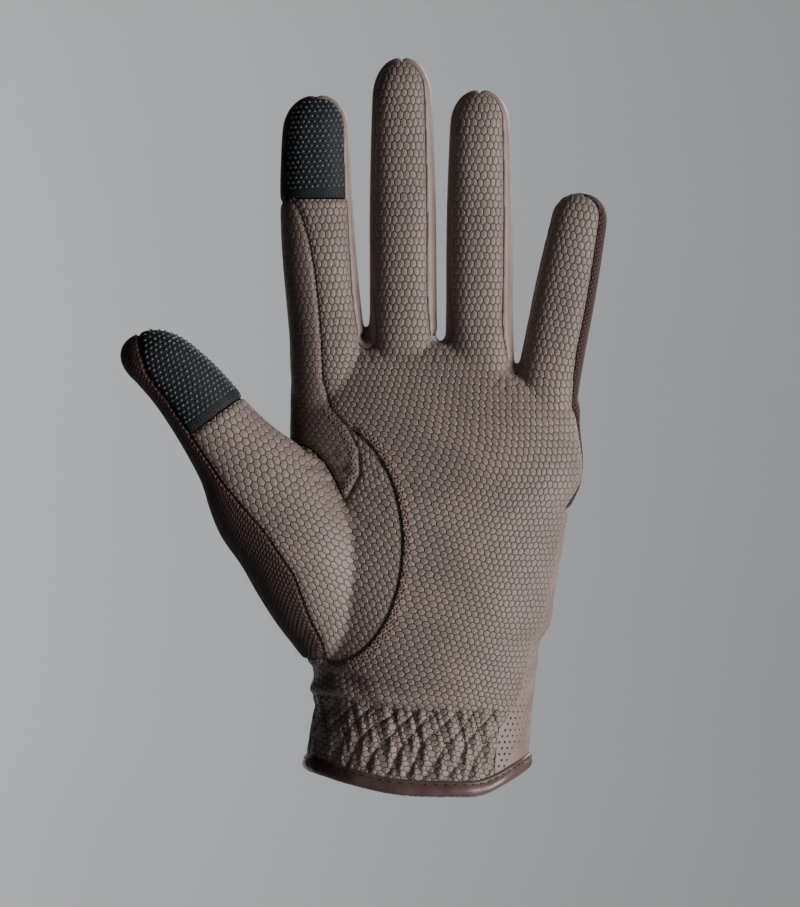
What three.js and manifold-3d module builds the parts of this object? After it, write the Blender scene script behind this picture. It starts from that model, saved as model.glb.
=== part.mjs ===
// Left-hand riding glove, held in the shape of a hand: leather palm with embossed grain, knitted back,
// touch pads on two fingertips, side walls between the fingers, gathered wrist, punched back cuff, bound hem.
// Millimetres. +Z runs from the wrist opening to the fingertips, -Y is the palm side, -X the thumb side.
// The origin is the middle of the wrist opening.
import * as THREE from "three";
import { mergeVertices } from "three/addons/utils/BufferGeometryUtils.js";
import Module from "manifold-3d";

const wasm = await Module();
wasm.setup();

// Materials' thickness and the seams
const WALL = 1.2;
const SEAM_GAP = 0.3;

// Hand and cuff
const HAND_WIDTH = 83.5;
const HAND_DEPTH = 33;
const WRIST_WIDTH = 63.3;
const WRIST_DEPTH = 44;
const CUFF_HEIGHT = 38.7;
const PALM_HEIGHT = 91;
const HEM_SAG = 7;

// Fingers, from the crotch level to the tip
const INDEX_LENGTH = 70.5;
const INDEX_WIDTH = 21.4;
const MIDDLE_LENGTH = 81.2;
const MIDDLE_WIDTH = 19.6;
const RING_LENGTH = 72;
const RING_WIDTH = 19.9;
const LITTLE_LENGTH = 53.3;
const LITTLE_WIDTH = 18;
const FINGER_FLATNESS = 0.88;
const FINGER_CURL = 5;

// Thumb, from the middle of its ball to the tip
const THUMB_LENGTH = 80.2;
const THUMB_WIDTH = 21.8;
const THUMB_DEPTH = 20;
const THUMB_LEAN = 36.7;
const THUMB_FORWARD = 14;

// Panels
const OVAL_WIDTH = 42.4;
const OVAL_HEIGHT = 68.4;
const INDEX_PAD_LENGTH = 30;
const THUMB_PAD_LENGTH = 32.5;
const GATHER_PITCH = 5.8;
const GATHER_HEIGHT = 1;
const BINDING_HEIGHT = 4.5;
const BINDING_THICKNESS = 0.9;
const HOLE_DIAMETER = 1;
const HOLE_PITCH = 4.4;
const TAB_HEIGHT = 24;
const TAB_LENGTH = 58;
const TAB_THICKNESS = 1.8;
const TAB_CLEARANCE = 0.7;
const TAB_UP = 0.5;
const TAB_ACROSS = 0.32;

// How finely the forms are faceted
const FINGER_SIDES = 12;
const HAND_SIDES = 24;
const INSIDE_SHARE = 0.67;
const GATHER_BACK_SIDES = 8;
const TIP_RINGS = 3;
const HOLE_SIDES = 5;
const HAND_SQUARE = 2.25;
const FINGER_SQUARE = 2.3;
const FAR = 140;
const SINK = 0.1;

const crotchZ = CUFF_HEIGHT + PALM_HEIGHT;
const handX = (share) => share * HAND_WIDTH;
const mix = (a, b, t) => a + (b - a) * t;
const clamp01 = (t) => Math.min(1, Math.max(0, t));

// Reads a column of a table at a place on its first column, with straight lines between the rows.
function lookUp(table, key, at, column) {
  const last = table.length - 1;
  if (at <= table[0][key]) return table[0][column];
  for (let i = 1; i <= last; i++) {
    if (at <= table[i][key]) {
      const t = (at - table[i - 1][key]) / (table[i][key] - table[i - 1][key]);
      return mix(table[i - 1][column], table[i][column], t);
    }
  }
  return table[last][column];
}

// Solids

function solid(geometry) {
  const bare = geometry.clone();
  bare.deleteAttribute("normal");
  bare.deleteAttribute("uv");
  const merged = mergeVertices(bare, 1e-4);
  const build = (triVerts) =>
    new wasm.Manifold(
      new wasm.Mesh({ numProp: 3, vertProperties: merged.attributes.position.array, triVerts }),
    );
  const made = build(new Uint32Array(merged.index.array));
  if (made.volume() >= 0) return made;
  const turned = new Uint32Array(merged.index.array);
  for (let i = 0; i < turned.length; i += 3) [turned[i + 1], turned[i + 2]] = [turned[i + 2], turned[i + 1]];
  return build(turned);
}

// A closed skin through rings of equally many points, with a fan over each end.
function loft(rings) {
  const sides = rings[0].length;
  const middle = (ring) => ring.reduce((s, p) => s.add(p), new THREE.Vector3()).divideScalar(sides);
  const points = [...rings.flat(), middle(rings[0]), middle(rings.at(-1))];
  const first = points.length - 2;
  const index = [];
  for (let r = 0; r + 1 < rings.length; r++) {
    for (let k = 0; k < sides; k++) {
      const a = r * sides + k;
      const b = r * sides + ((k + 1) % sides);
      index.push(a, b, b + sides, a, b + sides, a + sides);
    }
  }
  const top = (rings.length - 1) * sides;
  for (let k = 0; k < sides; k++) {
    const next = (k + 1) % sides;
    index.push(first, next, k, first + 1, top + k, top + next);
  }
  const geometry = new THREE.BufferGeometry().setFromPoints(points);
  geometry.setIndex(index);
  return solid(geometry);
}

// An outline drawn on the X-Z plane, pushed through from one depth to another.
function prism(outline, fromY = -FAR, toY = FAR) {
  const shape = new THREE.Shape(outline.map(([x, z]) => new THREE.Vector2(x, z)));
  const geometry = new THREE.ExtrudeGeometry(shape, { depth: toY - fromY, bevelEnabled: false });
  geometry.rotateX(Math.PI / 2);
  geometry.translate(0, toY, 0);
  return solid(geometry);
}

// The space before (side -1) or behind (side 1) a surface of rows of [x, y, z], with as many columns in each.
function beyond(rows, side) {
  const columns = rows[0].length;
  const points = [];
  for (const row of rows) for (const [x, y, z] of row) points.push(new THREE.Vector3(x, y, z));
  for (const row of rows) for (const [x, , z] of row) points.push(new THREE.Vector3(x, side * FAR, z));
  const far = rows.length * columns;
  const index = [];
  const quad = (a, b, c, d) => index.push(a, b, c, a, c, d);
  for (let r = 0; r + 1 < rows.length; r++) {
    for (let c = 0; c + 1 < columns; c++) {
      const a = r * columns + c;
      quad(a, a + 1, a + 1 + columns, a + columns);
      quad(far + a, far + a + columns, far + a + 1 + columns, far + a + 1);
    }
    const left = r * columns;
    const right = left + columns - 1;
    quad(left, left + columns, far + left + columns, far + left);
    quad(right, far + right, far + right + columns, right + columns);
  }
  for (let c = 0; c + 1 < columns; c++) {
    const top = (rows.length - 1) * columns + c;
    quad(c, far + c, far + c + 1, c + 1);
    quad(top, top + 1, far + top + 1, far + top);
  }
  const geometry = new THREE.BufferGeometry().setFromPoints(points);
  geometry.setIndex(index);
  return solid(geometry);
}

const evenAngles = (sides) => Array.from({ length: sides }, (_, k) => (2 * Math.PI * k) / sides);

const union = (solids) => solids.reduce((a, b) => a.add(b));

// Cutting can leave crumbs behind; the piece is the largest body.
const largest = (made) => made.decompose().reduce((a, b) => (b.volume() > a.volume() ? b : a));

// A rounded-box ring: its points start at +across and turn towards the back of the hand.
function ring({ centre, across, halfWidth, front, back, square = FINGER_SQUARE, angles, swell = () => 0 }) {
  const depthWay = new THREE.Vector3(0, 1, 0);
  return angles.map((angle) => {
    const c = Math.cos(angle);
    const s = Math.sin(angle);
    const u = Math.sign(c) * Math.abs(c) ** (2 / square);
    const v = Math.sign(s) * Math.abs(s) ** (2 / square);
    const grow = swell(angle);
    return centre
      .clone()
      .addScaledVector(across, u * (halfWidth + grow))
      .addScaledVector(depthWay, v * ((s > 0 ? back : front) + grow));
  });
}

// Hand

// Sides of the hand as shares of its width from the wrist's middle, depths as shares of its depth
const HAND_ROWS = [
  { up: 0.047, thumbSide: -0.371, littleSide: 0.414, front: 0.6, back: 0.6 },
  { up: 0.096, thumbSide: -0.378, littleSide: 0.45, front: 0.6, back: 0.56 },
  { up: 0.19, thumbSide: -0.392, littleSide: 0.467, front: 0.61, back: 0.52 },
  { up: 0.333, thumbSide: -0.412, littleSide: 0.493, front: 0.6, back: 0.48 },
  { up: 0.49, thumbSide: -0.43, littleSide: 0.531, front: 0.56, back: 0.45 },
  { up: 0.53, thumbSide: -0.436, littleSide: 0.553, front: 0.54, back: 0.44 },
  { up: 0.757, thumbSide: -0.44, littleSide: 0.557, front: 0.44, back: 0.4 },
  { up: 0.88, thumbSide: -0.438, littleSide: 0.557, front: 0.35, back: 0.35 },
  { up: 0.95, thumbSide: -0.43, littleSide: 0.55, front: 0.27, back: 0.27 },
  { up: 1, thumbSide: -0.4, littleSide: 0.53, front: 0.15, back: 0.15 },
];

// Sides and depths of the cuff as shares of the wrist's width and depth: two folds lie above the gathers
const CUFF_ROWS = [
  { up: -0.3, thumbSide: -0.506, littleSide: 0.49, front: 0.49, back: 0.5 },
  { up: 0.05, thumbSide: -0.507, littleSide: 0.492, front: 0.49, back: 0.5 },
  { up: 0.34, thumbSide: -0.5, littleSide: 0.504, front: 0.475, back: 0.5 },
  { up: 0.56, thumbSide: -0.478, littleSide: 0.517, front: 0.465, back: 0.49 },
  { up: 0.68, thumbSide: -0.466, littleSide: 0.521, front: 0.455, back: 0.48 },
  { up: 0.72, thumbSide: -0.48, littleSide: 0.526, front: 0.475, back: 0.48 },
  { up: 0.79, thumbSide: -0.486, littleSide: 0.531, front: 0.472, back: 0.475 },
  { up: 0.85, thumbSide: -0.474, littleSide: 0.532, front: 0.458, back: 0.47 },
  { up: 0.91, thumbSide: -0.482, littleSide: 0.536, front: 0.466, back: 0.465 },
  { up: 1, thumbSide: -0.485, littleSide: 0.546, front: 0.455, back: 0.455 },
];

function cuffAt(up) {
  const read = (column) => lookUp(CUFF_ROWS, "up", up, column);
  return {
    z: up * CUFF_HEIGHT,
    left: read("thumbSide") * WRIST_WIDTH,
    right: read("littleSide") * WRIST_WIDTH,
    front: read("front") * WRIST_DEPTH,
    back: read("back") * WRIST_DEPTH,
  };
}

function handAt(up) {
  const read = (column) => lookUp(HAND_ROWS, "up", up, column);
  return {
    z: CUFF_HEIGHT + up * PALM_HEIGHT,
    left: handX(read("thumbSide")),
    right: handX(read("littleSide")),
    front: read("front") * HAND_DEPTH,
    back: read("back") * HAND_DEPTH,
  };
}

// Cross-section of the hand or cuff at a height.
function bodyAt(z) {
  if (z <= CUFF_HEIGHT) return cuffAt(z / CUFF_HEIGHT);
  const up = (z - CUFF_HEIGHT) / PALM_HEIGHT;
  const lowest = HAND_ROWS[0].up;
  if (up >= lowest) return handAt(up);
  const low = cuffAt(1);
  const high = handAt(lowest);
  const t = up / lowest;
  return Object.fromEntries(Object.keys(low).map((k) => [k, mix(low[k], high[k], t)]));
}

// How far the crotches between the fingers lie below the highest one, across the hand
const CROTCHES = [
  { across: -0.45, drop: 4 },
  { across: -0.2, drop: 0 },
  { across: 0.07, drop: -1 },
  { across: 0.2, drop: 2 },
  { across: 0.33, drop: 8.5 },
  { across: 0.56, drop: 16 },
];
const KNUCKLES_UP = 0.75;

function bodyRing(section, grow, { angles, swell, knuckles = 0 }) {
  const middle = (section.left + section.right) / 2;
  const points = ring({
    centre: new THREE.Vector3(middle, 0, section.z),
    across: new THREE.Vector3(1, 0, 0),
    halfWidth: (section.right - section.left) / 2 + grow,
    front: section.front + grow,
    back: section.back + grow,
    square: HAND_SQUARE,
    angles,
    swell,
  });
  for (const p of points) p.z -= knuckles * lookUp(CROTCHES, "across", p.x / HAND_WIDTH, "drop");
  return points;
}

// The gathers: rows of puffs between zigzag seams, each row half a pitch along from the one below it
const GATHER_ROWS = [
  { up: 0.2, puff: 0 },
  { up: 0.27, puff: 1 },
  { up: 0.41, puff: 0.8 },
  { up: 0.46, puff: 0 },
  { up: 0.51, puff: -0.8 },
  { up: 0.56, puff: 0 },
  { up: 0.61, puff: 0.7 },
  { up: 0.66, puff: 0 },
];
const GATHER_END = 0.36;

// Puffs in half a turn of the wrist: an angle at every crest and every trough between them
const gatherSides = 2 * Math.round((Math.PI * (WRIST_WIDTH + WRIST_DEPTH)) / 4 / GATHER_PITCH);

function gatherSwell(puff) {
  return (angle) => {
    const onPalm = Math.max(0, -Math.sin(angle));
    const littleEnd = clamp01((Math.cos(angle) - (1 - GATHER_END)) / (GATHER_END / 2));
    const fade = clamp01(onPalm * 3) * (1 - littleEnd);
    return (fade * GATHER_HEIGHT * puff * Math.cos(gatherSides * angle)) / 2;
  };
}

// The inside of the glove is drawn with fewer sides, and with every second row.
function insideRows(rows, grow) {
  return grow < 0 ? rows.filter((_, k) => k % 2 === 0 || k === rows.length - 1) : rows;
}

const fewer = (count, grow) => (grow < 0 ? 4 * Math.round((count * INSIDE_SHARE) / 4) : count);

function body(grow, { gathered = false } = {}) {
  const sections = insideRows([
    ...CUFF_ROWS.map(({ up }) => cuffAt(up)),
    ...HAND_ROWS.map(({ up }) => handAt(up)),
  ], grow);
  if (grow < 0) sections[0].z -= WALL;
  const top = sections.length - 1;
  sections[top].z += grow;
  const knucklesFrom = CUFF_HEIGHT + PALM_HEIGHT * KNUCKLES_UP;
  const knuckles = (z) => clamp01((z - knucklesFrom) / (crotchZ - knucklesFrom));
  const angles = evenAngles(fewer(HAND_SIDES, grow));
  const plain = loft(sections.map((s) => bodyRing(s, grow, { angles, knuckles: knuckles(s.z) })));
  if (!gathered) return plain;
  const halfTurn = (count, from) => Array.from({ length: count }, (_, k) => from + (Math.PI * k) / count);
  const gatherAngles = [...halfTurn(GATHER_BACK_SIDES, 0), ...halfTurn(gatherSides, Math.PI)];
  const puffed = GATHER_ROWS.map(({ up, puff }) => {
    const z = up * CUFF_HEIGHT;
    return bodyRing(bodyAt(z), grow, { angles: gatherAngles, swell: gatherSwell(puff) });
  });
  const band = (extra) => {
    const low = GATHER_ROWS[0].up * CUFF_HEIGHT + SINK;
    const high = GATHER_ROWS.at(-1).up * CUFF_HEIGHT - SINK;
    const whole = prism([[-FAR, low - extra], [FAR, low - extra], [FAR, high + extra], [-FAR, high + extra]]);
    return whole.subtract(belowHem(BINDING_HEIGHT + 2 * SINK + SEAM_GAP - extra));
  };
  return plain.subtract(band(0)).add(loft(puffed).intersect(band(SINK / 2)));
}

// Fingers

// root: where the finger leaves the palm, as a share of the hand's width; drop: how far below the top crotch
// lean: degrees away from upright; bow: how far the middle of its length bends aside
const FINGERS = [
  { root: -0.311, drop: 0, lean: -2.6, bow: -1.4, length: INDEX_LENGTH, width: INDEX_WIDTH },
  { root: -0.048, drop: 0, lean: -0.3, bow: 0, length: MIDDLE_LENGTH, width: MIDDLE_WIDTH },
  { root: 0.208, drop: 0, lean: 0.1, bow: 0, length: RING_LENGTH, width: RING_WIDTH },
  { root: 0.45, drop: 10, lean: 10.8, bow: 0, length: LITTLE_LENGTH, width: LITTLE_WIDTH },
];

const FINGER_ROWS = [
  { along: -0.32, wide: 0.98, deep: 0.95 },
  { along: -0.12, wide: 1.04, deep: 1.12 },
  { along: 0.06, wide: 1.01, deep: 1.06 },
  { along: 0.5, wide: 0.99, deep: 0.99 },
  { along: 0.76, wide: 0.93, deep: 0.92 },
];
const TIP_START = 0.85;
const TIP_WIDE = 0.9;
const TIP_END = 0.8;
const TIP_ROUND = 0.9;
const TIP_TURN = 0.94;

function fingerAt(finger, along) {
  const lean = THREE.MathUtils.degToRad(finger.lean);
  const rootX = handX(finger.root);
  const rootZ = crotchZ - finger.drop;
  const distance = along * finger.length;
  const curl = FINGER_CURL * Math.max(0, along) ** 2;
  const aside = Math.sin(lean) * distance + finger.bow * Math.sin(Math.PI * clamp01(along));
  return {
    centre: new THREE.Vector3(rootX + aside, -curl, rootZ + Math.cos(lean) * distance),
    across: new THREE.Vector3(Math.cos(lean), 0, -Math.sin(lean)),
    halfWidth: (finger.width / 2) * lookUp(FINGER_ROWS, "along", along, "wide"),
    halfDepth: (finger.width / 2) * FINGER_FLATNESS * lookUp(FINGER_ROWS, "along", along, "deep"),
  };
}

function fingerSolid(finger, grow) {
  const angles = evenAngles(fewer(FINGER_SIDES, grow));
  const rings = insideRows(FINGER_ROWS, grow).map(({ along }) => {
    const at = fingerAt(finger, along);
    return ring({
      centre: at.centre,
      across: at.across,
      halfWidth: at.halfWidth + grow,
      front: at.halfDepth + grow,
      back: at.halfDepth + grow,
      angles,
    });
  });
  const tipReach = (1 - TIP_START) * finger.length + grow;
  for (let k = 0; k < TIP_RINGS; k++) {
    const turn = (k / TIP_RINGS) * (Math.PI / 2) * TIP_TURN;
    const along = TIP_START + (Math.sin(turn) * tipReach) / finger.length;
    const at = fingerAt(finger, along);
    const narrow = Math.cos(turn) ** TIP_ROUND;
    rings.push(
      ring({
        centre: at.centre,
        across: at.across,
        halfWidth: ((finger.width / 2) * TIP_WIDE + grow) * narrow,
        front: ((finger.width / 2) * FINGER_FLATNESS * TIP_WIDE + grow) * narrow,
        back: ((finger.width / 2) * FINGER_FLATNESS * TIP_WIDE + grow) * narrow,
        angles,
      }),
    );
  }
  const end = fingerAt(finger, TIP_START + tipReach / finger.length);
  const { centre, across } = end;
  rings.push(ring({ centre, across, halfWidth: TIP_END, front: TIP_END, back: TIP_END, angles }));
  return loft(rings);
}

// Thumb

// along: share of the thumb's length; aside, wide, deep: shares of its width and depth; forward: to the palm
const THUMB_ROWS = [
  { along: -0.4, aside: -0.3, wide: 0.3, deep: 0.4, forward: 0.1 },
  { along: -0.34, aside: -0.24, wide: 0.8, deep: 0.9, forward: 0.25 },
  { along: -0.2, aside: -0.07, wide: 1.28, deep: 1.25, forward: 0.42 },
  { along: 0, aside: 0.105, wide: 1.57, deep: 1.45, forward: 0.62 },
  { along: 0.118, aside: 0.162, wide: 1.57, deep: 1.42, forward: 0.74 },
  { along: 0.249, aside: 0.186, wide: 1.58, deep: 1.3, forward: 0.87 },
  { along: 0.359, aside: 0.206, wide: 1.4, deep: 1.2, forward: 0.99 },
  { along: 0.427, aside: 0.212, wide: 1.22, deep: 1.12, forward: 1.07 },
  { along: 0.52, aside: 0.207, wide: 1.08, deep: 1.03, forward: 1.18 },
  { along: 0.65, aside: 0.217, wide: 0.99, deep: 0.98, forward: 1.31 },
  { along: 0.76, aside: 0.205, wide: 0.925, deep: 0.93, forward: 1.4 },
  { along: 0.86, aside: 0.152, wide: 0.865, deep: 0.86, forward: 1.46 },
];
const THUMB_TIP_SHIFT = 0.14;
const THUMB_TIP_TURN = 0.96;
const THUMB_BALL = { across: -0.406, up: 0.3 };
const thumbLean = THREE.MathUtils.degToRad(THUMB_LEAN);
const thumbWay = new THREE.Vector3(-Math.sin(thumbLean), 0, Math.cos(thumbLean));
const thumbAcross = new THREE.Vector3(Math.cos(thumbLean), 0, Math.sin(thumbLean));
const thumbBall = new THREE.Vector3(handX(THUMB_BALL.across), 0, CUFF_HEIGHT + THUMB_BALL.up * PALM_HEIGHT);

function thumbAt(along) {
  const read = (column) => lookUp(THUMB_ROWS, "along", along, column);
  return {
    centre: thumbBall
      .clone()
      .addScaledVector(thumbWay, along * THUMB_LENGTH)
      .addScaledVector(thumbAcross, read("aside") * THUMB_WIDTH)
      .setY(-read("forward") * THUMB_FORWARD),
    halfWidth: (read("wide") * THUMB_WIDTH) / 2,
    halfDepth: (read("deep") * THUMB_DEPTH) / 2,
  };
}

// A place on the X-Z plane from the thumb's own length and its own half width.
function thumbPlace(along, across, push = 0) {
  const at = thumbAt(along);
  const p = at.centre.clone().addScaledVector(thumbAcross, across * at.halfWidth + push);
  return [p.x, p.z];
}

function thumbSolid(grow) {
  const angles = evenAngles(fewer(FINGER_SIDES, grow));
  const rings = insideRows(THUMB_ROWS, grow).map(({ along }) => {
    const at = thumbAt(along);
    return ring({
      centre: at.centre,
      across: thumbAcross,
      halfWidth: at.halfWidth + grow,
      front: at.halfDepth + grow,
      back: at.halfDepth + grow,
      angles,
    });
  });
  const last = THUMB_ROWS.at(-1).along;
  const lastAt = thumbAt(last);
  const tipReach = (1 - last) * THUMB_LENGTH + grow;
  for (let k = 1; k <= TIP_RINGS; k++) {
    const turn = (k / TIP_RINGS) * (Math.PI / 2) * THUMB_TIP_TURN;
    const narrow = Math.cos(turn);
    const centre = lastAt.centre
      .clone()
      .addScaledVector(thumbWay, Math.sin(turn) * tipReach)
      .addScaledVector(thumbAcross, -THUMB_TIP_SHIFT * THUMB_WIDTH * Math.sin(turn));
    rings.push(
      ring({
        centre,
        across: thumbAcross,
        halfWidth: (lastAt.halfWidth + grow) * narrow,
        front: (lastAt.halfDepth + grow) * narrow,
        back: (lastAt.halfDepth + grow) * narrow,
        angles,
      }),
    );
  }
  return loft(rings);
}

function handSolid(grow, options) {
  return union([body(grow, options), ...FINGERS.map((f) => fingerSolid(f, grow)), thumbSolid(grow)]);
}

// Seams

// Height of the hem across the wrist, as shares of its width and of the sag
const HEM_ROWS = [
  { across: -0.8, rise: 1.1 },
  { across: -0.5, rise: 0.95 },
  { across: -0.33, rise: 0.54 },
  { across: -0.1, rise: 0.1 },
  { across: 0.12, rise: 0 },
  { across: 0.3, rise: 0.08 },
  { across: 0.42, rise: 0.6 },
  { across: 0.52, rise: 1.1 },
  { across: 0.8, rise: 1.15 },
];

// Everything below the hem, raised by some height.
function belowHem(raise) {
  const edge = HEM_ROWS.map(({ across, rise }) => [across * WRIST_WIDTH, rise * HEM_SAG + raise]);
  return prism([...edge, [edge.at(-1)[0], -FAR], [edge[0][0], -FAR]]);
}

// Seam depths on each side of each finger, as shares of its half depth, minus towards the palm: where the
// palm leather ends at the finger's root and at its tip, and where the knitted back begins behind a side wall.
const SEAM_SIDES = [
  { finger: 0, side: -1, walled: false, palm: 0.3, palmTip: 0.3 },
  { finger: 0, side: 1, walled: true, palm: -0.78, palmTip: -0.45, back: 0.4 },
  { finger: 1, side: -1, walled: true, palm: -0.45, palmTip: -0.4, back: 0.4 },
  { finger: 1, side: 1, walled: true, palm: -0.78, palmTip: -0.72, back: 0.4 },
  { finger: 2, side: -1, walled: true, palm: -0.4, palmTip: -0.4, back: 0.4 },
  { finger: 2, side: 1, walled: true, palm: -0.84, palmTip: -0.8, back: 0.35 },
  { finger: 3, side: -1, walled: true, palm: -0.05, palmTip: -0.05, back: 0.4 },
  { finger: 3, side: 1, walled: false, palm: -0.86, palmTip: -0.94 },
];

// Seam depth on the little finger's side of the hand, as shares of the section's front depth
const LITTLE_EDGE = [
  { up: 0, palm: -0.94 },
  { up: 0.15, palm: -0.92 },
  { up: 0.2, palm: -0.72 },
  { up: 0.24, palm: -0.62 },
  { up: 0.32, palm: -0.5 },
  { up: 0.62, palm: -0.38 },
  { up: 0.7, palm: -0.12 },
  { up: 0.9, palm: -0.3 },
  { up: 1, palm: -0.4 },
];
const LITTLE_BLEND_DROP = 14;
const LITTLE_BLEND_HEIGHT = 22;
const THUMB_EDGE_BACK = 0.55;
const PAD_Z = crotchZ + INDEX_LENGTH - INDEX_PAD_LENGTH;
const PAD_EDGE = -0.6;
const SPLIT = 0.4;
const SIDE_LAP = 3;
const SEAM_STEP = 0.5;
const WALL_SPREAD = 14;
const WALLS_FROM = 0.75;
const THUMB_WRAP_UP = 0.55;
const WRAP_HEIGHT = 20;

// The side of a finger at a height, as far out as half of the space to its neighbour.
function fingerSide(i, side, z) {
  const finger = FINGERS[i];
  const lean = THREE.MathUtils.degToRad(finger.lean);
  const rootZ = crotchZ - finger.drop;
  const along = (z - rootZ) / (Math.cos(lean) * finger.length);
  const at = fingerAt(finger, Math.min(along, TIP_START));
  const wall = (a) => a.centre.x + side * a.halfWidth;
  const x = wall(at) + (along > TIP_START ? (along - TIP_START) * finger.length * Math.sin(lean) : 0);
  return { x, y: at.centre.y, halfDepth: at.halfDepth, along };
}

// Places across and depths of the palm's or the back's seam at a height, from the thumb side.
function seamPlaces(which, z) {
  const places = SEAM_SIDES.map(({ finger, side, walled, palm, palmTip, back }) => {
    const at = fingerSide(finger, side, z);
    let share = which === "back" && walled ? back : mix(palm, palmTip, clamp01(at.along));
    if (finger === 0 && !walled && z > PAD_Z) share = PAD_EDGE;
    return { x: at.x, y: at.y + share * at.halfDepth };
  });
  // Neighbouring walls share one seam at the crotch between them.
  for (let i = 1; i + 1 < places.length; i += 2) {
    const a = places[i];
    const b = places[i + 1];
    const crotch = crotchZ - FINGERS[SEAM_SIDES[i + 1].finger].drop;
    const apart = clamp01((z - crotch) / WALL_SPREAD);
    const shared = (a.y + b.y) / 2;
    a.y = mix(shared, a.y, apart);
    b.y = mix(shared, b.y, apart);
    const between = (a.x + b.x) / 2;
    a.x = between - SPLIT;
    b.x = between + SPLIT;
  }
  const edge = bodyAt(Math.min(Math.max(z, 0), crotchZ));
  const first = places[0];
  const last = places.at(-1);
  const blendFrom = crotchZ - FINGERS.at(-1).drop - LITTLE_BLEND_DROP;
  const onFinger = clamp01((z - blendFrom) / LITTLE_BLEND_HEIGHT);
  const edgeY = lookUp(LITTLE_EDGE, "up", z / crotchZ, "palm") * edge.front;
  last.y = mix(edgeY, last.y, onFinger);
  last.x = Math.max(last.x, edge.right) + SIDE_LAP;
  first.x = Math.min(first.x, edge.left) - SIDE_LAP;
  const wrap = clamp01((crotchZ * THUMB_WRAP_UP - z) / WRAP_HEIGHT);
  first.y = mix(first.y, THUMB_EDGE_BACK * edge.back, wrap);
  if (z >= crotchZ * WALLS_FROM) return places;
  return places.map(({ x }, k) => ({ x, y: mix(first.y, last.y, k / (places.length - 1)) }));
}

// Both outer sides have no wall: there the back's seam follows the palm's to the middle of the finger.
function seamRow(which, z) {
  const palm = seamPlaces("palm", z);
  const places = seamPlaces(which, z);
  const between = (a, b) => ({ x: (a.x + b.x) / 2, y: (a.y + b.y) / 2 });
  const afterFirst = between(palm[0], palm[1]);
  const beforeLast = between(palm.at(-2), palm.at(-1));
  return [places[0], afterFirst, ...places.slice(1, -1), beforeLast, places.at(-1)];
}

function seamRows(which, push) {
  const levels = [
    -FAR,
    ...LITTLE_EDGE.map(({ up }) => up * crotchZ),
    THUMB_WRAP_UP * crotchZ,
    THUMB_WRAP_UP * crotchZ - WRAP_HEIGHT,
    crotchZ - FINGERS.at(-1).drop,
    crotchZ + WALL_SPREAD,
    PAD_Z - SEAM_STEP,
    PAD_Z + SEAM_STEP,
    crotchZ + MIDDLE_LENGTH + SEAM_STEP,
  ];
  const heights = [...new Set(levels.map((z) => Math.round(z * 100) / 100))].sort((a, b) => a - b);
  return heights.map((z) => {
    const row = seamRow(which, z).map(({ x, y }) => [x, y + push, z]);
    return [[-FAR, row[0][1], z], ...row, [FAR, row.at(-1)[1], z]];
  });
}

const palmSpace = (grow) => beyond(seamRows("palm", grow), -1);
const backSpace = (grow) => beyond(seamRows("back", -grow), 1);

// Outline of an ellipse's arc, angles in degrees from +X.
function arc(centre, radii, from, to, steps) {
  return Array.from({ length: steps + 1 }, (_, k) => {
    const a = THREE.MathUtils.degToRad(mix(from, to, k / steps));
    return [centre[0] + radii[0] * Math.cos(a), centre[1] + radii[1] * Math.sin(a)];
  });
}

// The seam of the index finger's side panel, from the touch pad down to the thumb's crotch.
// up: share of the way from the crotch to the pad; across: share of the finger's width from its outer edge
const SIDE_SEAM = [
  { up: 1, across: 0 },
  { up: 0.965, across: 0.12 },
  { up: 0.873, across: 0.24 },
  { up: 0.769, across: 0.32 },
  { up: 0.666, across: 0.37 },
  { up: 0.529, across: 0.415 },
  { up: 0.392, across: 0.44 },
  { up: 0.295, across: 0.55 },
  { up: 0.237, across: 0.75 },
  { up: 0.158, across: 0.91 },
  { up: 0.075, across: 0.925 },
  { up: 0, across: 0.76 },
];
const THUMB_CROTCH_UP = 0.51;
const thumbCrotchZ = CUFF_HEIGHT + THUMB_CROTCH_UP * PALM_HEIGHT;
const SIDE_PANEL_FOOT = 12;
const indexOuterX = handX(FINGERS[0].root) - INDEX_WIDTH / 2;

function sideSeam(push) {
  return SIDE_SEAM.map(({ up, across }) => [
    indexOuterX + across * INDEX_WIDTH + push,
    mix(thumbCrotchZ, PAD_Z, up),
  ]);
}

function sidePanelSpace(grow) {
  const seam = sideSeam(grow);
  const [lowX, lowZ] = seam.at(-1);
  const top = [[-FAR, PAD_Z + grow], [seam[0][0], PAD_Z + grow]];
  const foot = [[lowX, lowZ - SIDE_PANEL_FOOT], [-FAR, lowZ - SIDE_PANEL_FOOT]];
  return prism([...top, ...seam.slice(1), ...foot]);
}

// The thumb's panel reaches into the palm inside an oval, and its tongue ends at the side panel's seam.
const OVAL_FROM = -78;
const OVAL_TO = 66;
const OVAL_STEPS = 14;
const CROTCH_ASIDE = 4;
const CROTCH_DOWN = 6;
const FOOT_ASIDE = 4;
const FOOT_UP = 8;
const FOOT_REACH = 0.14;
const WEB_ASIDE = 12;
const WEB_UP = 20;
const WEB_REACH = 25;
const THUMB_MARGIN = 0.6;
const ovalCentre = [handX(-0.303), CUFF_HEIGHT + 0.363 * PALM_HEIGHT];

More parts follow.
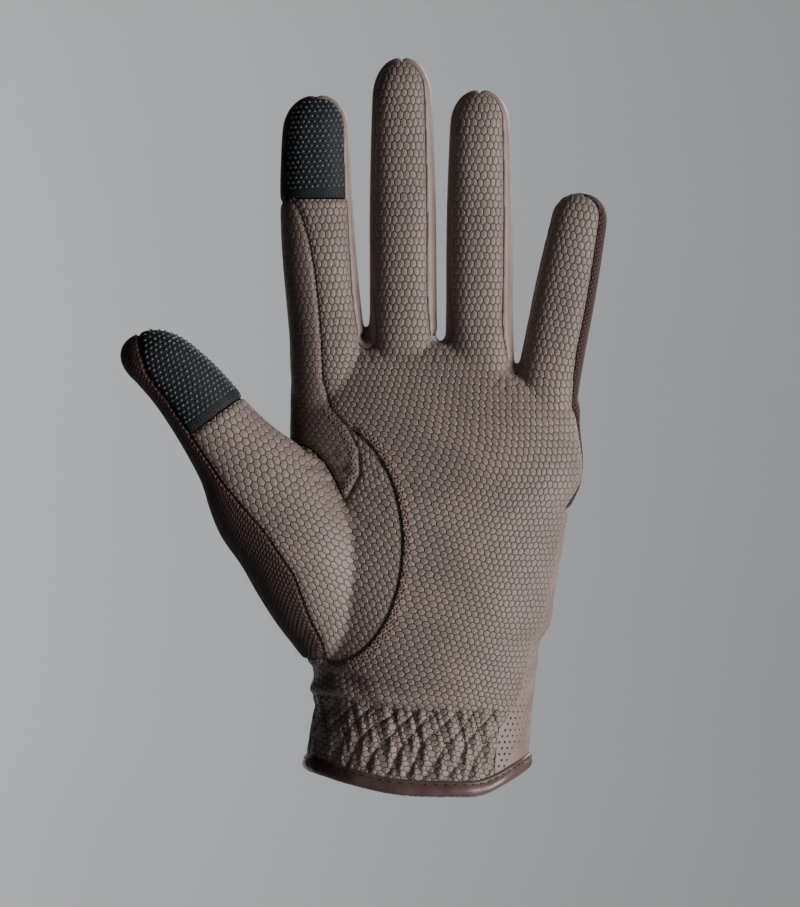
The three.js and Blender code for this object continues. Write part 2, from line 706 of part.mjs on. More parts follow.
function thumbSpace(grow) {
  const radii = [OVAL_WIDTH / 2 + grow, OVAL_HEIGHT / 2 + grow];
  const oval = arc(ovalCentre, radii, OVAL_FROM, OVAL_TO, OVAL_STEPS);
  const [crotchX, crotchAt] = sideSeam(0).at(-1);
  const crotch = [crotchX, crotchAt + 2 * grow];
  const [[tipX, tipZ], ...down] = sideSeam(-grow).slice(-4, -1);
  const tongue = [[tipX, tipZ + 2 * grow], ...down, crotch];
  const [footX, footZ] = oval[0];
  const within = [[crotchX - CROTCH_ASIDE, crotchAt - CROTCH_DOWN], [footX - FOOT_ASIDE, footZ + FOOT_UP]];
  const web = [[crotch[0] - WEB_ASIDE, crotch[1] + WEB_UP], [crotch[0] - WEB_REACH, crotchZ + WEB_UP]];
  const outside = [[-FAR, crotchZ + WEB_UP], [-FAR, footZ - WEB_UP], [footX - handX(FOOT_REACH), footZ]];
  const inPalm = prism([...oval, ...tongue, ...within], -FAR, 0);
  return inPalm.add(thumbSolid(THUMB_MARGIN + grow).intersect(prism([...oval, ...tongue, ...web, ...outside])));
}

// The seam between the thumb's leather and its knitted back, across shares of the thumb's half width
const THUMB_SEAM = [
  { along: 0.99, across: -0.1 },
  { along: 0.93, across: -0.36 },
  { along: 0.85, across: -0.6 },
  { along: 0.73, across: -0.66 },
  { along: 0.55, across: -0.65 },
  { along: 0.385, across: -0.56 },
  { along: 0.165, across: -0.36 },
  { along: -0.02, across: -0.3 },
  { along: -0.18, across: -0.41 },
  { along: -0.29, across: -0.41 },
];
const THUMB_SEAM_BACK = 0.25;
const FRONT_FOOT = -0.28;
const FRONT_TIP_ASIDE = 4;

// The thumb's front: to the palm side of a slanting plane, and inside the seam.
function thumbFrontSpace(grow) {
  const seam = THUMB_SEAM.map(({ along, across }) => thumbPlace(along, across, -grow));
  const tipSide = seam[0][0] + FRONT_TIP_ASIDE;
  const outline = [...seam, [handX(FRONT_FOOT), -FAR], [FAR, -FAR], [FAR, 2 * FAR], [tipSide, 2 * FAR]];
  const tip = thumbAt(1);
  const ball = thumbAt(0);
  const behind = (at) => at.centre.y + THUMB_SEAM_BACK * at.halfDepth + grow;
  const slope = (behind(tip) - behind(ball)) / (tip.centre.x - ball.centre.x);
  const depthAt = (x) => behind(ball) + slope * (x - ball.centre.x);
  const columns = [-FAR, ball.centre.x, HAND_WIDTH / 2];
  const across = (z) => columns.map((x) => [x, depthAt(Math.min(x, ball.centre.x)), z]);
  const rows = [across(-FAR), across(FAR * 2)];
  return prism(outline).intersect(beyond(rows, -1));
}

function thumbPadSpace(grow) {
  const start = 1 - THUMB_PAD_LENGTH / THUMB_LENGTH;
  const low = thumbBall.clone().addScaledVector(thumbWay, start * THUMB_LENGTH - grow);
  const side = thumbAcross.clone().multiplyScalar(THUMB_LENGTH);
  const beyondTip = thumbWay.clone().multiplyScalar(THUMB_LENGTH);
  const corners = [low.clone().sub(side), low.clone().add(side)];
  const outline = [...corners, corners[1].clone().add(beyondTip), corners[0].clone().add(beyondTip)];
  return prism(outline.map((p) => [p.x, p.z]));
}

// The back cuff's upper edge, from the thumb side to the little finger's side
const BACK_CUFF_TOP = [
  { across: -0.8, up: 0.36 },
  { across: -0.4, up: 0.38 },
  { across: -0.1, up: 0.46 },
  { across: 0.2, up: 0.56 },
  { across: 0.45, up: 0.625 },
  { across: 0.9, up: 0.64 },
];

function cuffSpace(grow) {
  const top = BACK_CUFF_TOP.map(({ across, up }) => [handX(across), up * crotchZ + grow]);
  return prism([...top, [top.at(-1)[0], -FAR], [top[0][0], -FAR]]);
}

// Punched holes in the back cuff, in rows half a pitch apart, each drilled square to the cuff.
const HOLE_ROWS = 6;
const HOLE_COLUMNS = 4;
const HOLE_START_UP = 0.3;
const HOLE_ROW_PITCH = 0.71;
const HOLE_START_TURN = -0.245;
const HOLE_ROW_TURN = 0.012;
const HOLE_SPREAD = 0.8;

function punch(z, angle) {
  const section = bodyAt(z);
  const middle = (section.left + section.right) / 2;
  const [at] = ring({
    centre: new THREE.Vector3(middle, 0, z),
    across: new THREE.Vector3(1, 0, 0),
    halfWidth: (section.right - section.left) / 2,
    front: section.front,
    back: section.back,
    square: HAND_SQUARE,
    angles: [angle],
  });
  const way = new THREE.Vector3(
    (at.x - middle) / ((section.right - section.left) / 2) ** 2,
    at.y / section.front ** 2,
    0,
  ).normalize();
  const drill = new THREE.CylinderGeometry(HOLE_DIAMETER / 2, HOLE_DIAMETER / 2, 5 * WALL, HOLE_SIDES);
  drill.applyQuaternion(new THREE.Quaternion().setFromUnitVectors(new THREE.Vector3(0, 1, 0), way));
  drill.translate(at.x, at.y, at.z);
  return solid(drill);
}

function punches() {
  const made = [];
  const low = HOLE_START_UP * CUFF_HEIGHT;
  for (let r = 0; r < HOLE_ROWS; r++) {
    const z = low + r * HOLE_ROW_PITCH * HOLE_PITCH;
    const step = (HOLE_SPREAD * HOLE_PITCH) / bodyAt(z).front;
    const first = Math.PI * (HOLE_START_TURN + HOLE_ROW_TURN * r);
    for (let c = 0; c < HOLE_COLUMNS; c++) made.push(punch(z, first + (c + (r % 2) / 2) * step));
  }
  return union(made);
}

// Pieces

const outer = handSolid(0, { gathered: true });
const hollow = handSolid(-WALL);
const shell = outer.subtract(hollow).subtract(belowHem(0));

const g = -SEAM_GAP / 2;
const clear = SEAM_GAP / 2;

const palmSide = palmSpace(g);
const backSide = backSpace(g);
const thumbPart = thumbSpace(g);
const thumbCleared = thumbSpace(clear);
const sideRegion = sidePanelSpace(g).subtract(thumbCleared);
const sideCleared = sidePanelSpace(clear).subtract(thumbSpace(0));
const indexPadSpace = (grow) => {
  const right = handX((FINGERS[0].root + FINGERS[1].root) / 2);
  return prism([[-FAR, PAD_Z - grow], [right, PAD_Z - grow], [right, FAR * 2], [-FAR, FAR * 2]]);
};

const thumbShell = shell.intersect(thumbPart);
const bodyShell = shell.subtract(thumbCleared);

const thumbFront = thumbShell.intersect(thumbFrontSpace(g));
const thumbBack = thumbShell.subtract(thumbFrontSpace(clear));
const thumbPad = thumbFront.intersect(thumbPadSpace(g));
const thumbLeather = thumbFront.subtract(thumbPadSpace(clear));

const palmShell = bodyShell.intersect(palmSide);
const backShell = bodyShell.intersect(backSide);
const wallShell = bodyShell.subtract(palmSpace(clear)).subtract(backSpace(clear));

const sidePanel = palmShell.intersect(sideRegion);
const indexPad = palmShell.intersect(indexPadSpace(g));
const palm = palmShell.subtract(sideCleared).subtract(indexPadSpace(clear));

const backMesh = backShell.subtract(cuffSpace(clear));
const backCuff = backShell.intersect(cuffSpace(g)).subtract(punches());

// The side wall between two fingers: everything between their middles.
const WALL_DEPTH = 40;
const FOOT_ALONG = -0.5;
const HEAD_ALONG = 1.2;

function wallBetween(i) {
  const a = FINGERS[i];
  const b = FINGERS[i + 1];
  const low = crotchZ - WALL_DEPTH;
  const foot = (f) => fingerAt(f, FOOT_ALONG).centre;
  const head = (f) => fingerAt(f, HEAD_ALONG).centre;
  const outline = [foot(a), foot(b), head(b), head(a)].map((p) => [p.x, Math.max(p.z, low)]);
  return largest(wallShell.intersect(prism(outline)));
}

function binding() {
  const outside = BINDING_THICKNESS + SEAM_GAP;
  const band = belowHem(BINDING_HEIGHT).subtract(belowHem(-BINDING_THICKNESS - SEAM_GAP));
  const full = body(outside).subtract(body(-WALL - outside)).intersect(band);
  const room = body(SEAM_GAP).subtract(body(-WALL - SEAM_GAP)).subtract(belowHem(-SEAM_GAP));
  return full.subtract(room);
}

// The closing tab lies on the back cuff, round at its free end.
function closingTab() {
  const low = TAB_UP * CUFF_HEIGHT;
  const right = handX(TAB_ACROSS);
  const left = right - TAB_LENGTH;
  const round = TAB_HEIGHT / 2;
  const outline = [
    [right, low],
    [right, low + TAB_HEIGHT],
    ...arc([left + round, low + round], [round, round], 90, 270, 8),
  ];
  const bottom = { ...cuffAt(TAB_UP), z: low - SINK };
  const top = { ...bodyAt(low + TAB_HEIGHT), z: low + TAB_HEIGHT + SINK };
  const skin = (grow) =>
    loft([bottom, top].map((section) => bodyRing(section, grow, { angles: evenAngles(HAND_SIDES) })));
  return skin(TAB_CLEARANCE + TAB_THICKNESS).subtract(skin(TAB_CLEARANCE)).intersect(prism(outline, 0, FAR));
}

const pieces = {
  palm,
  thumb_front: thumbLeather,
  index_side_panel: sidePanel,
  index_touch_pad: indexPad,
  thumb_touch_pad: thumbPad,
  back_knit: backMesh,
  thumb_back_knit: thumbBack,
  finger_wall_index_middle: wallBetween(0),
  finger_wall_middle_ring: wallBetween(1),
  finger_wall_ring_little: wallBetween(2),
  back_cuff: backCuff,
  wrist_binding: binding(),
  closing_tab: closingTab(),
};

const COLOURS = {
  palm: [0x6f5f57, 0.7],
  thumb_front: [0x6f5f57, 0.7],
  index_side_panel: [0x5c4c44, 0.75],
  index_touch_pad: [0x1d1f22, 0.45],
  thumb_touch_pad: [0x1d1f22, 0.45],
  back_knit: [0x3a2420, 0.9],
  thumb_back_knit: [0x3a2420, 0.9],
  finger_wall_index_middle: [0x75625c, 0.6],
  finger_wall_middle_ring: [0x75625c, 0.6],
  finger_wall_ring_little: [0x75625c, 0.6],
  back_cuff: [0x7d6d66, 0.65],
  wrist_binding: [0x3b2724, 0.4],
  closing_tab: [0x6f5f57, 0.65],
};

const glove = new THREE.Group();
for (const [name, made] of Object.entries(pieces)) {
  const mesh = largest(made).getMesh();
  const positions = new Float32Array(mesh.numVert * 3);
  for (let i = 0; i < mesh.numVert; i++) {
    positions.set(mesh.vertProperties.subarray(i * mesh.numProp, i * mesh.numProp + 3), i * 3);
  }
  const geometry = new THREE.BufferGeometry();
  geometry.setAttribute("position", new THREE.BufferAttribute(positions, 3));
  geometry.setIndex(new THREE.BufferAttribute(new Uint32Array(mesh.triVerts), 1));
  geometry.computeVertexNormals();
  const [color, roughness] = COLOURS[name];
  const node = new THREE.Mesh(geometry, new THREE.MeshStandardMaterial({ color, roughness, metalness: 0 }));
  node.name = name;
  glove.add(node);
}

export default glove;
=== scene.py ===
# %% [markdown]
# # A riding glove for the left hand
# The real glove is sewn from flat pieces: an embossed leather palm, a thumb, thin side walls between the
# fingers, a knitted back and a bound, gathered wrist. It could be modelled panel by panel, but panels made
# apart never meet at their seams. So one smooth hand is made first, and the panels are cut out of it.

# %% Frame, units and small helpers
import math

import bmesh
import bpy
import numpy as np
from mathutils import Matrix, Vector, kdtree
from mathutils.bvhtree import BVHTree


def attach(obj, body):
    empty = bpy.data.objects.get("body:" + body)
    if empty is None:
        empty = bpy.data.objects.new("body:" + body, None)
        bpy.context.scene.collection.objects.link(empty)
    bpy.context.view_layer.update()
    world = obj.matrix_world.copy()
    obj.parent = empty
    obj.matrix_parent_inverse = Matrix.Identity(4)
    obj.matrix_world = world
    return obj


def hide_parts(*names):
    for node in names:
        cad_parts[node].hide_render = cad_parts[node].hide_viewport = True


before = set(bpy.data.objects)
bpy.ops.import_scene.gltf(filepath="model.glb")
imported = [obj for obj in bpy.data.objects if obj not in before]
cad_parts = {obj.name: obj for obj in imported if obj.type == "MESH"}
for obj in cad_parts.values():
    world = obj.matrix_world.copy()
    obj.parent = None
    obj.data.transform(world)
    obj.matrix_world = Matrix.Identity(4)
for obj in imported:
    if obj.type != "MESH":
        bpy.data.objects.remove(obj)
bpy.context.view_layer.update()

MM = 0.001


def pick(*objects):
    """Makes these the only selected objects, and the last one the active one."""
    if bpy.context.object and bpy.context.object.mode != "OBJECT":
        bpy.ops.object.mode_set(mode="OBJECT")
    bpy.ops.object.select_all(action="DESELECT")
    for each in objects:
        each.select_set(True)
    bpy.context.view_layer.objects.active = objects[-1]
    return objects[-1]


def points_of(obj):
    """The piece's points, in millimetres."""
    flat = np.empty(len(obj.data.vertices) * 3)
    obj.data.vertices.foreach_get("co", flat)
    return flat.reshape(-1, 3) / MM


def normals_of(obj):
    flat = np.empty(len(obj.data.vertices) * 3)
    obj.data.vertices.foreach_get("normal", flat)
    return flat.reshape(-1, 3)


def put_points(obj, points):
    obj.data.vertices.foreach_set("co", (points * MM).ravel())
    obj.data.update()


def apply_modifier(obj, kind, **settings):
    pick(obj)
    modifier = obj.modifiers.new(kind.lower(), kind)
    for key, value in settings.items():
        setattr(modifier, key, value)
    bpy.ops.object.modifier_apply(modifier=modifier.name)


# %% [markdown]
# The sizes are the ones the solid model was made from, in millimetres. Each table is a few sections of the
# hand, with a column for each size, as shares of the named sizes. A smooth curve through the rows is read
# wherever a section is needed, because a hand has no corners between one measured place and the next.

# %% Sizes of the hand
WALL = 1.2
HAND_WIDTH, HAND_DEPTH, PALM_HEIGHT = 83.5, 33, 91
WRIST_WIDTH, WRIST_DEPTH, CUFF_HEIGHT = 63.3, 44, 38.7
HEM_SAG = 7
CROTCH = CUFF_HEIGHT + PALM_HEIGHT
FINGER_FLATNESS, FINGER_CURL = 0.88, 5
INDEX_PAD_LENGTH, THUMB_PAD_LENGTH = 30, 32.5

CUFF = dict(
    up=[-0.3, 0.05, 0.34, 0.56, 0.68, 0.72, 0.79, 0.85, 0.91, 1],
    thumb_side=[-0.506, -0.507, -0.5, -0.478, -0.466, -0.48, -0.486, -0.474, -0.482, -0.485],
    little_side=[0.49, 0.492, 0.504, 0.517, 0.521, 0.526, 0.531, 0.532, 0.536, 0.546],
    front=[0.49, 0.49, 0.475, 0.465, 0.455, 0.475, 0.472, 0.458, 0.466, 0.455],
    back=[0.5, 0.5, 0.5, 0.49, 0.48, 0.48, 0.475, 0.47, 0.465, 0.455],
)
HAND = dict(
    up=[0.047, 0.096, 0.19, 0.333, 0.49, 0.53, 0.757, 0.88, 0.95, 1],
    thumb_side=[-0.371, -0.378, -0.392, -0.412, -0.43, -0.436, -0.44, -0.438, -0.43, -0.4],
    little_side=[0.414, 0.45, 0.467, 0.493, 0.531, 0.553, 0.557, 0.557, 0.55, 0.53],
    front=[0.6, 0.6, 0.61, 0.6, 0.56, 0.54, 0.44, 0.35, 0.27, 0.15],
    back=[0.6, 0.56, 0.52, 0.48, 0.45, 0.44, 0.4, 0.35, 0.27, 0.15],
)
CROTCH_DROPS = dict(across=[-0.45, -0.2, 0.07, 0.2, 0.33, 0.56], drop=[4, 0, -1, 2, 8.5, 16])
FINGER = dict(
    along=[-0.32, -0.12, 0.06, 0.5, 0.76, 0.85],
    wide=[0.98, 1.04, 1.01, 0.99, 0.93, 0.9],
    deep=[0.95, 1.12, 1.06, 0.99, 0.92, 0.9],
)
TIP_START = 0.85
FINGERS = [
    dict(name="index", root=-0.311, drop=0, lean=-2.6, bow=-1.4, length=70.5, width=21.4),
    dict(name="middle", root=-0.05, drop=0, lean=-0.3, bow=0, length=81.2, width=19.3),
    dict(name="ring", root=0.211, drop=0, lean=0.1, bow=0, length=72, width=19.3),
    dict(name="little", root=0.45, drop=10, lean=10.8, bow=0, length=53.3, width=18),
]
THUMB_LENGTH, THUMB_WIDTH, THUMB_DEPTH, THUMB_LEAN, THUMB_FORWARD = 80.2, 21.8, 20, 36.7, 14
THUMB = dict(
    along=[-0.4, -0.34, -0.2, 0, 0.118, 0.249, 0.359, 0.427, 0.52, 0.65, 0.76, 0.86],
    aside=[-0.3, -0.24, -0.07, 0.105, 0.162, 0.186, 0.206, 0.212, 0.207, 0.217, 0.205, 0.152],
    wide=[0.3, 0.8, 1.28, 1.57, 1.57, 1.58, 1.4, 1.22, 1.08, 0.99, 0.925, 0.865],
    deep=[0.4, 0.9, 1.25, 1.45, 1.42, 1.3, 1.2, 1.12, 1.03, 0.98, 0.93, 0.86],
    forward=[0.1, 0.25, 0.42, 0.62, 0.74, 0.87, 0.99, 1.07, 1.18, 1.31, 1.4, 1.46],
)
THUMB_TIP_SHIFT = 0.14
THUMB_BALL = np.array([-0.406 * HAND_WIDTH, 0, CUFF_HEIGHT + 0.3 * PALM_HEIGHT])
lean = math.radians(THUMB_LEAN)
THUMB_WAY = np.array([-math.sin(lean), 0, math.cos(lean)])
THUMB_ACROSS = np.array([math.cos(lean), 0, math.sin(lean)])
HAND_SQUARE, FINGER_SQUARE = 2.25, 2.3
print("palm", HAND_WIDTH, "mm wide and", PALM_HEIGHT, "mm tall, thumb", THUMB_LENGTH, "mm long")

# %% [markdown]
# Straight lines from row to row would leave a crease at each row of a table. A curve that keeps one slope
# through each row leaves none, and all that it needs is the two rows beside a place and their slopes.

# %% Read the tables
def smooth(xs, ys, at):
    """A smooth curve through the points, level beyond its ends."""
    xs, ys = np.asarray(xs, float), np.asarray(ys, float)
    slope = np.gradient(ys, xs)
    at = np.clip(at, xs[0], xs[-1])
    k = np.clip(np.searchsorted(xs, at) - 1, 0, len(xs) - 2)
    step = xs[k + 1] - xs[k]
    t = (at - xs[k]) / step
    ends = (1 + 2 * t) * (1 - t) ** 2 * ys[k] + t * t * (3 - 2 * t) * ys[k + 1]
    return ends + t * (1 - t) * step * ((1 - t) * slope[k] - t * slope[k + 1])


def ease(t):
    t = np.clip(t, 0, 1)
    return t * t * (3 - 2 * t)


section_z = np.array([
    *np.array(CUFF["up"]) * CUFF_HEIGHT,
    *(CUFF_HEIGHT + np.array(HAND["up"]) * PALM_HEIGHT),
])


def body_at(z):
    """Thumb side, little finger's side, front depth and back depth of the hand or cuff at a height."""
    def column(name, wrist, hand):
        sizes = [*np.array(CUFF[name]) * wrist, *np.array(HAND[name]) * hand]
        return smooth(section_z, sizes, z)
    return (
        column("thumb_side", WRIST_WIDTH, HAND_WIDTH),
        column("little_side", WRIST_WIDTH, HAND_WIDTH),
        column("front", WRIST_DEPTH, HAND_DEPTH),
        column("back", WRIST_DEPTH, HAND_DEPTH),
    )


def finger_at(finger, along):
    """Centre across, centre depth, height, half width and half depth of a finger."""
    along = np.asarray(along, float)
    turn = math.radians(finger["lean"])
    far = along * finger["length"]
    x = finger["root"] * HAND_WIDTH + math.sin(turn) * far
    x = x + finger["bow"] * np.sin(math.pi * np.clip(along, 0, 1))
    y = -FINGER_CURL * np.maximum(0, along) ** 2
    z = CROTCH - finger["drop"] + math.cos(turn) * far
    half = finger["width"] / 2
    wide = half * smooth(FINGER["along"], FINGER["wide"], along)
    deep = half * FINGER_FLATNESS * smooth(FINGER["along"], FINGER["deep"], along)
    return x, y, z, wide, deep


def thumb_at(along):
    """Shift across, depth, half width and half depth of the thumb, on its own axis."""
    def column(name):
        return smooth(THUMB["along"], THUMB[name], along)
    aside, y = column("aside") * THUMB_WIDTH, -column("forward") * THUMB_FORWARD
    return aside, y, column("wide") * THUMB_WIDTH / 2, column("deep") * THUMB_DEPTH / 2


print("crotch of the fingers at", round(CROTCH, 1), "mm")

# %% [markdown]
# The picture was taken square to the palm from far away, so a long lens stands level with the middle of the
# glove. One soft light comes from the right and the front and leaves the left side dark. The floor sweeps
# up behind the glove without a corner, as paper does in a studio.

# %% Camera, light and floor
PIXEL = 0.287
PICTURE_WIDTH, PICTURE_HEIGHT = 800, 907
GLOVE_MIDDLE_PX, HEM_PX = 418, 793
LENS_DISTANCE, SENSOR = 1.7, 36
FLOOR_DROP = 600
FLOOR_ACROSS, FLOOR_BACK, BACKDROP_HEIGHT = 4, 2.5, 4
SWEEP_STEPS, SWEEP_STEP = 8, 0.2

view_x = (PICTURE_WIDTH / 2 - GLOVE_MIDDLE_PX) * PIXEL
view_z = (HEM_PX - PICTURE_HEIGHT / 2) * PIXEL


def add_camera():
    place = (view_x * MM, -LENS_DISTANCE, view_z * MM)
    bpy.ops.object.camera_add(location=place, rotation=(math.pi / 2, 0, 0))
    camera = bpy.context.object
    camera.data.sensor_fit = "VERTICAL"
    camera.data.sensor_height = SENSOR
    camera.data.lens = SENSOR * LENS_DISTANCE / (PICTURE_HEIGHT * PIXEL * MM)
    bpy.context.scene.camera = camera
    return camera


def add_area_light(name, place, target, size, power, colour=(1, 1, 1)):
    bpy.ops.object.light_add(type="AREA", location=place)
    light = bpy.context.object
    light.name = name
    light.data.size = size
    light.data.energy = power
    light.data.color = colour
    way = Vector(target) - Vector(place)
    light.rotation_euler = way.to_track_quat("-Z", "Y").to_euler()
    return light


def add_floor():
    """A floor that curves up into a backdrop."""
    bpy.ops.mesh.primitive_plane_add(size=2, location=(0, 0, -FLOOR_DROP * MM))
    floor = bpy.context.object
    floor.name = "floor_sweep"
    bpy.ops.object.mode_set(mode="EDIT")
    bpy.ops.mesh.select_all(action="SELECT")
    bpy.ops.transform.resize(value=(FLOOR_ACROSS, FLOOR_BACK, 1))
    bpy.ops.mesh.select_all(action="DESELECT")
    bpy.ops.object.mode_set(mode="OBJECT")
    for edge in floor.data.edges:
        edge.select = all(floor.data.vertices[k].co.y > 0 for k in edge.vertices)
    bpy.ops.object.mode_set(mode="EDIT")
    for k in range(SWEEP_STEPS):
        turn = math.pi / 2 * (k + 0.5) / SWEEP_STEPS
        step = (0, SWEEP_STEP * math.cos(turn), SWEEP_STEP * math.sin(turn))
        bpy.ops.mesh.extrude_region_move(TRANSFORM_OT_translate={"value": step})
    bpy.ops.mesh.extrude_region_move(TRANSFORM_OT_translate={"value": (0, 0, BACKDROP_HEIGHT)})
    bpy.ops.object.mode_set(mode="OBJECT")
    bpy.ops.object.shade_smooth()
    bpy.ops.object.transform_apply(location=True, rotation=True, scale=True)
    return floor


camera = add_camera()
middle = (0, 0, 0.1)
add_area_light("soft_key", (1.35, -0.85, -0.05), middle, 0.7, 39, (1, 0.985, 0.975))
add_area_light("soft_fill", (-0.7, -1.5, 0.0), middle, 1.2, 1.2, (0.95, 0.97, 1))
add_area_light("soft_top", (0.35, 0.2, 1.4), middle, 1.0, 3.5)
add_area_light("backdrop_light", (-1.6, 1.9, 0.2), (-0.9, 2.9, 0), 0.9, 52)
add_area_light("soft_back", (0.9, 1.3, 0.7), middle, 0.7, 14)
floor = add_floor()
print("lens", round(camera.data.lens), "mm at", LENS_DISTANCE, "m")

# %% [markdown]
# A hand could be pushed out of one block, but its sizes would then be hard to hold. Each finger, the thumb
# and the palm is drawn out instead from a ring that is extruded and resized from section to section, the
# way a sock is knitted. The ring is squared a little first, because a finger in leather is not quite round.

# %% Draw out a form
TIP_RINGS = 7


def ring(name, sides, square):
    """A filled ring, 1 mm from its middle to each side, a little squarer than a circle."""
    bpy.ops.mesh.primitive_circle_add(vertices=sides, radius=MM, fill_type="NGON", location=(0, 0, 0))
    made = bpy.context.object
    made.name = name
    unit = points_of(made)
    put_points(made, np.sign(unit) * np.minimum(np.abs(unit), 1) ** (2 / square))
    return made


def draw_out(name, rows, sides, square):
    """Extrudes a ring through rows of (across, depth, height, half width, half depth)."""
    made = ring(name, sides, square)
    bpy.ops.object.mode_set(mode="EDIT")
    bpy.ops.mesh.select_all(action="SELECT")
    was = np.array([0, 0, 0, 1, 1], float)
    for k, row in enumerate(rows):
        row = np.array(row, float)
        way = tuple((row[:3] - was[:3]) * MM)
        if k:
            bpy.ops.mesh.extrude_region_move(TRANSFORM_OT_translate={"value": way})
        else:
            bpy.ops.transform.translate(value=way)
        grow = row[3:] / was[3:]
        bpy.ops.transform.resize(value=(grow[0], grow[1], 1), center_override=tuple(row[:3] * MM))
        was = row
    bpy.ops.mesh.select_all(action="SELECT")
    bpy.ops.mesh.normals_make_consistent(inside=False)
    bpy.ops.object.mode_set(mode="OBJECT")
    return made


def round_tip(start, reach, steps):
    """Places and widths of the rings of a round end, as (distance, share of the width)."""
    turns = [math.pi / 2 * k / steps for k in range(1, steps + 1)]
    return [(start + reach * math.sin(t), max(0.05, math.cos(t)) ** 0.9) for t in turns]


print("a fingertip narrows to", [round(share, 2) for _, share in round_tip(0, 1, TIP_RINGS)])

# %% [markdown]
# The hand's rings stand close together just below the fingers, because there the palm drops towards the
# little finger. A finger could be drawn where it stands, but an upright one is easier to read: it is drawn
# upright, then leaned and put on its root.

# %% Palm, fingers and thumb
HAND_FROM, HAND_STEP, CLOSE_RINGS = -11.5, 2.5, 6
DROPS_FROM = 0.75
HAND_SIDES, FINGER_SIDES, THUMB_SIDES = 64, 32, 36
FINGER_RINGS, THUMB_RINGS = 18, 34


def make_body():
    close_from = CROTCH - CLOSE_RINGS
    heights = [*np.arange(HAND_FROM, close_from, HAND_STEP), *np.arange(close_from, CROTCH + 0.1, 1)]
    rows = []
    for z in heights:
        left, right, front, back = body_at(z)
        rows.append([(left + right) / 2, (back - front) / 2, z, (right - left) / 2, (front + back) / 2])
    made = draw_out("hand", rows, HAND_SIDES, HAND_SQUARE)
    at = points_of(made)
    drops_from = CUFF_HEIGHT + PALM_HEIGHT * DROPS_FROM
    share = np.clip((at[:, 2] - drops_from) / (CROTCH - drops_from), 0, 1)
    at[:, 2] -= share * smooth(CROTCH_DROPS["across"], CROTCH_DROPS["drop"], at[:, 0] / HAND_WIDTH)
    put_points(made, at)
    return made


def lean_and_place(made, turn, root):
    made.rotation_euler = (0, turn, 0)
    made.location = tuple(np.array(root) * MM)
    pick(made)
    bpy.ops.object.transform_apply(location=True, rotation=True, scale=True)
    return made


def make_finger(finger):
    upright = dict(finger, lean=0, root=0, drop=CROTCH)
    along = np.linspace(FINGER["along"][0], TIP_START, FINGER_RINGS)
    rows = [list(map(float, finger_at(upright, a))) for a in along]
    half = finger["width"] / 2 * FINGER["wide"][-1]
    reach = (1 - TIP_START) * finger["length"]
    for far, narrow in round_tip(TIP_START * finger["length"], reach, TIP_RINGS):
        x, y, z, _, _ = finger_at(upright, far / finger["length"])
        rows.append([float(x), float(y), float(z), half * narrow, half * FINGER_FLATNESS * narrow])
    made = draw_out(finger["name"] + "_finger", rows, FINGER_SIDES, FINGER_SQUARE)
    root = (finger["root"] * HAND_WIDTH, 0, CROTCH - finger["drop"])
    return lean_and_place(made, math.radians(finger["lean"]), root)


def make_thumb():
    rows = []
    tip_from = THUMB["along"][-1]
    for a in np.linspace(THUMB["along"][0], tip_from, THUMB_RINGS):
        aside, y, wide, deep = thumb_at(a)
        rows.append([aside, y, a * THUMB_LENGTH, wide, deep])
    last = rows[-1]
    reach = (1 - tip_from) * THUMB_LENGTH
    for far, narrow in round_tip(0, reach, TIP_RINGS):
        aside = last[0] - THUMB_TIP_SHIFT * THUMB_WIDTH * far / reach
        rows.append([aside, last[1], last[2] + far, last[3] * narrow, last[4] * narrow])
    made = draw_out("thumb", rows, THUMB_SIDES, FINGER_SQUARE)
    return lean_and_place(made, -lean, THUMB_BALL)


limbs = [make_body(), *[make_finger(f) for f in FINGERS], make_thumb()]
print("drawn out:", [limb.name for limb in limbs])

# %% [markdown]
# Six closed forms that pass through each other are not yet a hand. Booleans would leave hard creases where
# the fingers meet the palm. A voxel remesh turns them into one skin with even faces, and a few rounds of
# smoothing give the crotches the soft fillet that stretched leather has there.

# %% One skin
SKIN_GRAIN = 0.75


def make_skin():
    pick(*limbs[1:], limbs[0])
    bpy.ops.object.join()
    skin = bpy.context.object
    skin.name = "skin"
    apply_modifier(skin, "REMESH", mode="VOXEL", voxel_size=SKIN_GRAIN * MM, use_smooth_shade=True)
    apply_modifier(skin, "SMOOTH", factor=0.5, iterations=4)
    return skin


skin = make_skin()
print("skin faces", len(skin.data.polygons))

# %% [markdown]
# The seams are written as distances: a function is below zero on one panel, above zero on the next, and
# zero along the seam. The same numbers that placed the seams of the solid model place them here, so a
# panel ends where its solid ends. Distances are also what dips a seam and lays a row of stitches beside it.

# %% Where the seams run
FAR, BELOW_GLOVE, ABOVE_GLOVE = 140, -20, 220
HEM = dict(
    across=[-0.8, -0.5, -0.33, -0.1, 0.12, 0.3, 0.42, 0.52, 0.8],
    rise=[1.1, 0.95, 0.54, 0.1, 0, 0.08, 0.6, 1.1, 1.15],
)
SEAM_SIDES = [
    dict(finger=0, side=-1, walled=False, palm=0.3, palm_tip=0.3),
    dict(finger=0, side=1, walled=True, palm=-0.78, palm_tip=-0.45, back=0.4),
    dict(finger=1, side=-1, walled=True, palm=-0.45, palm_tip=-0.4, back=0.4),
    dict(finger=1, side=1, walled=True, palm=-0.78, palm_tip=-0.72, back=0.4),
    dict(finger=2, side=-1, walled=True, palm=-0.4, palm_tip=-0.4, back=0.4),
    dict(finger=2, side=1, walled=True, palm=-0.84, palm_tip=-0.8, back=0.35),
    dict(finger=3, side=-1, walled=True, palm=-0.05, palm_tip=-0.05, back=0.4),
    dict(finger=3, side=1, walled=False, palm=-0.86, palm_tip=-0.94),
]
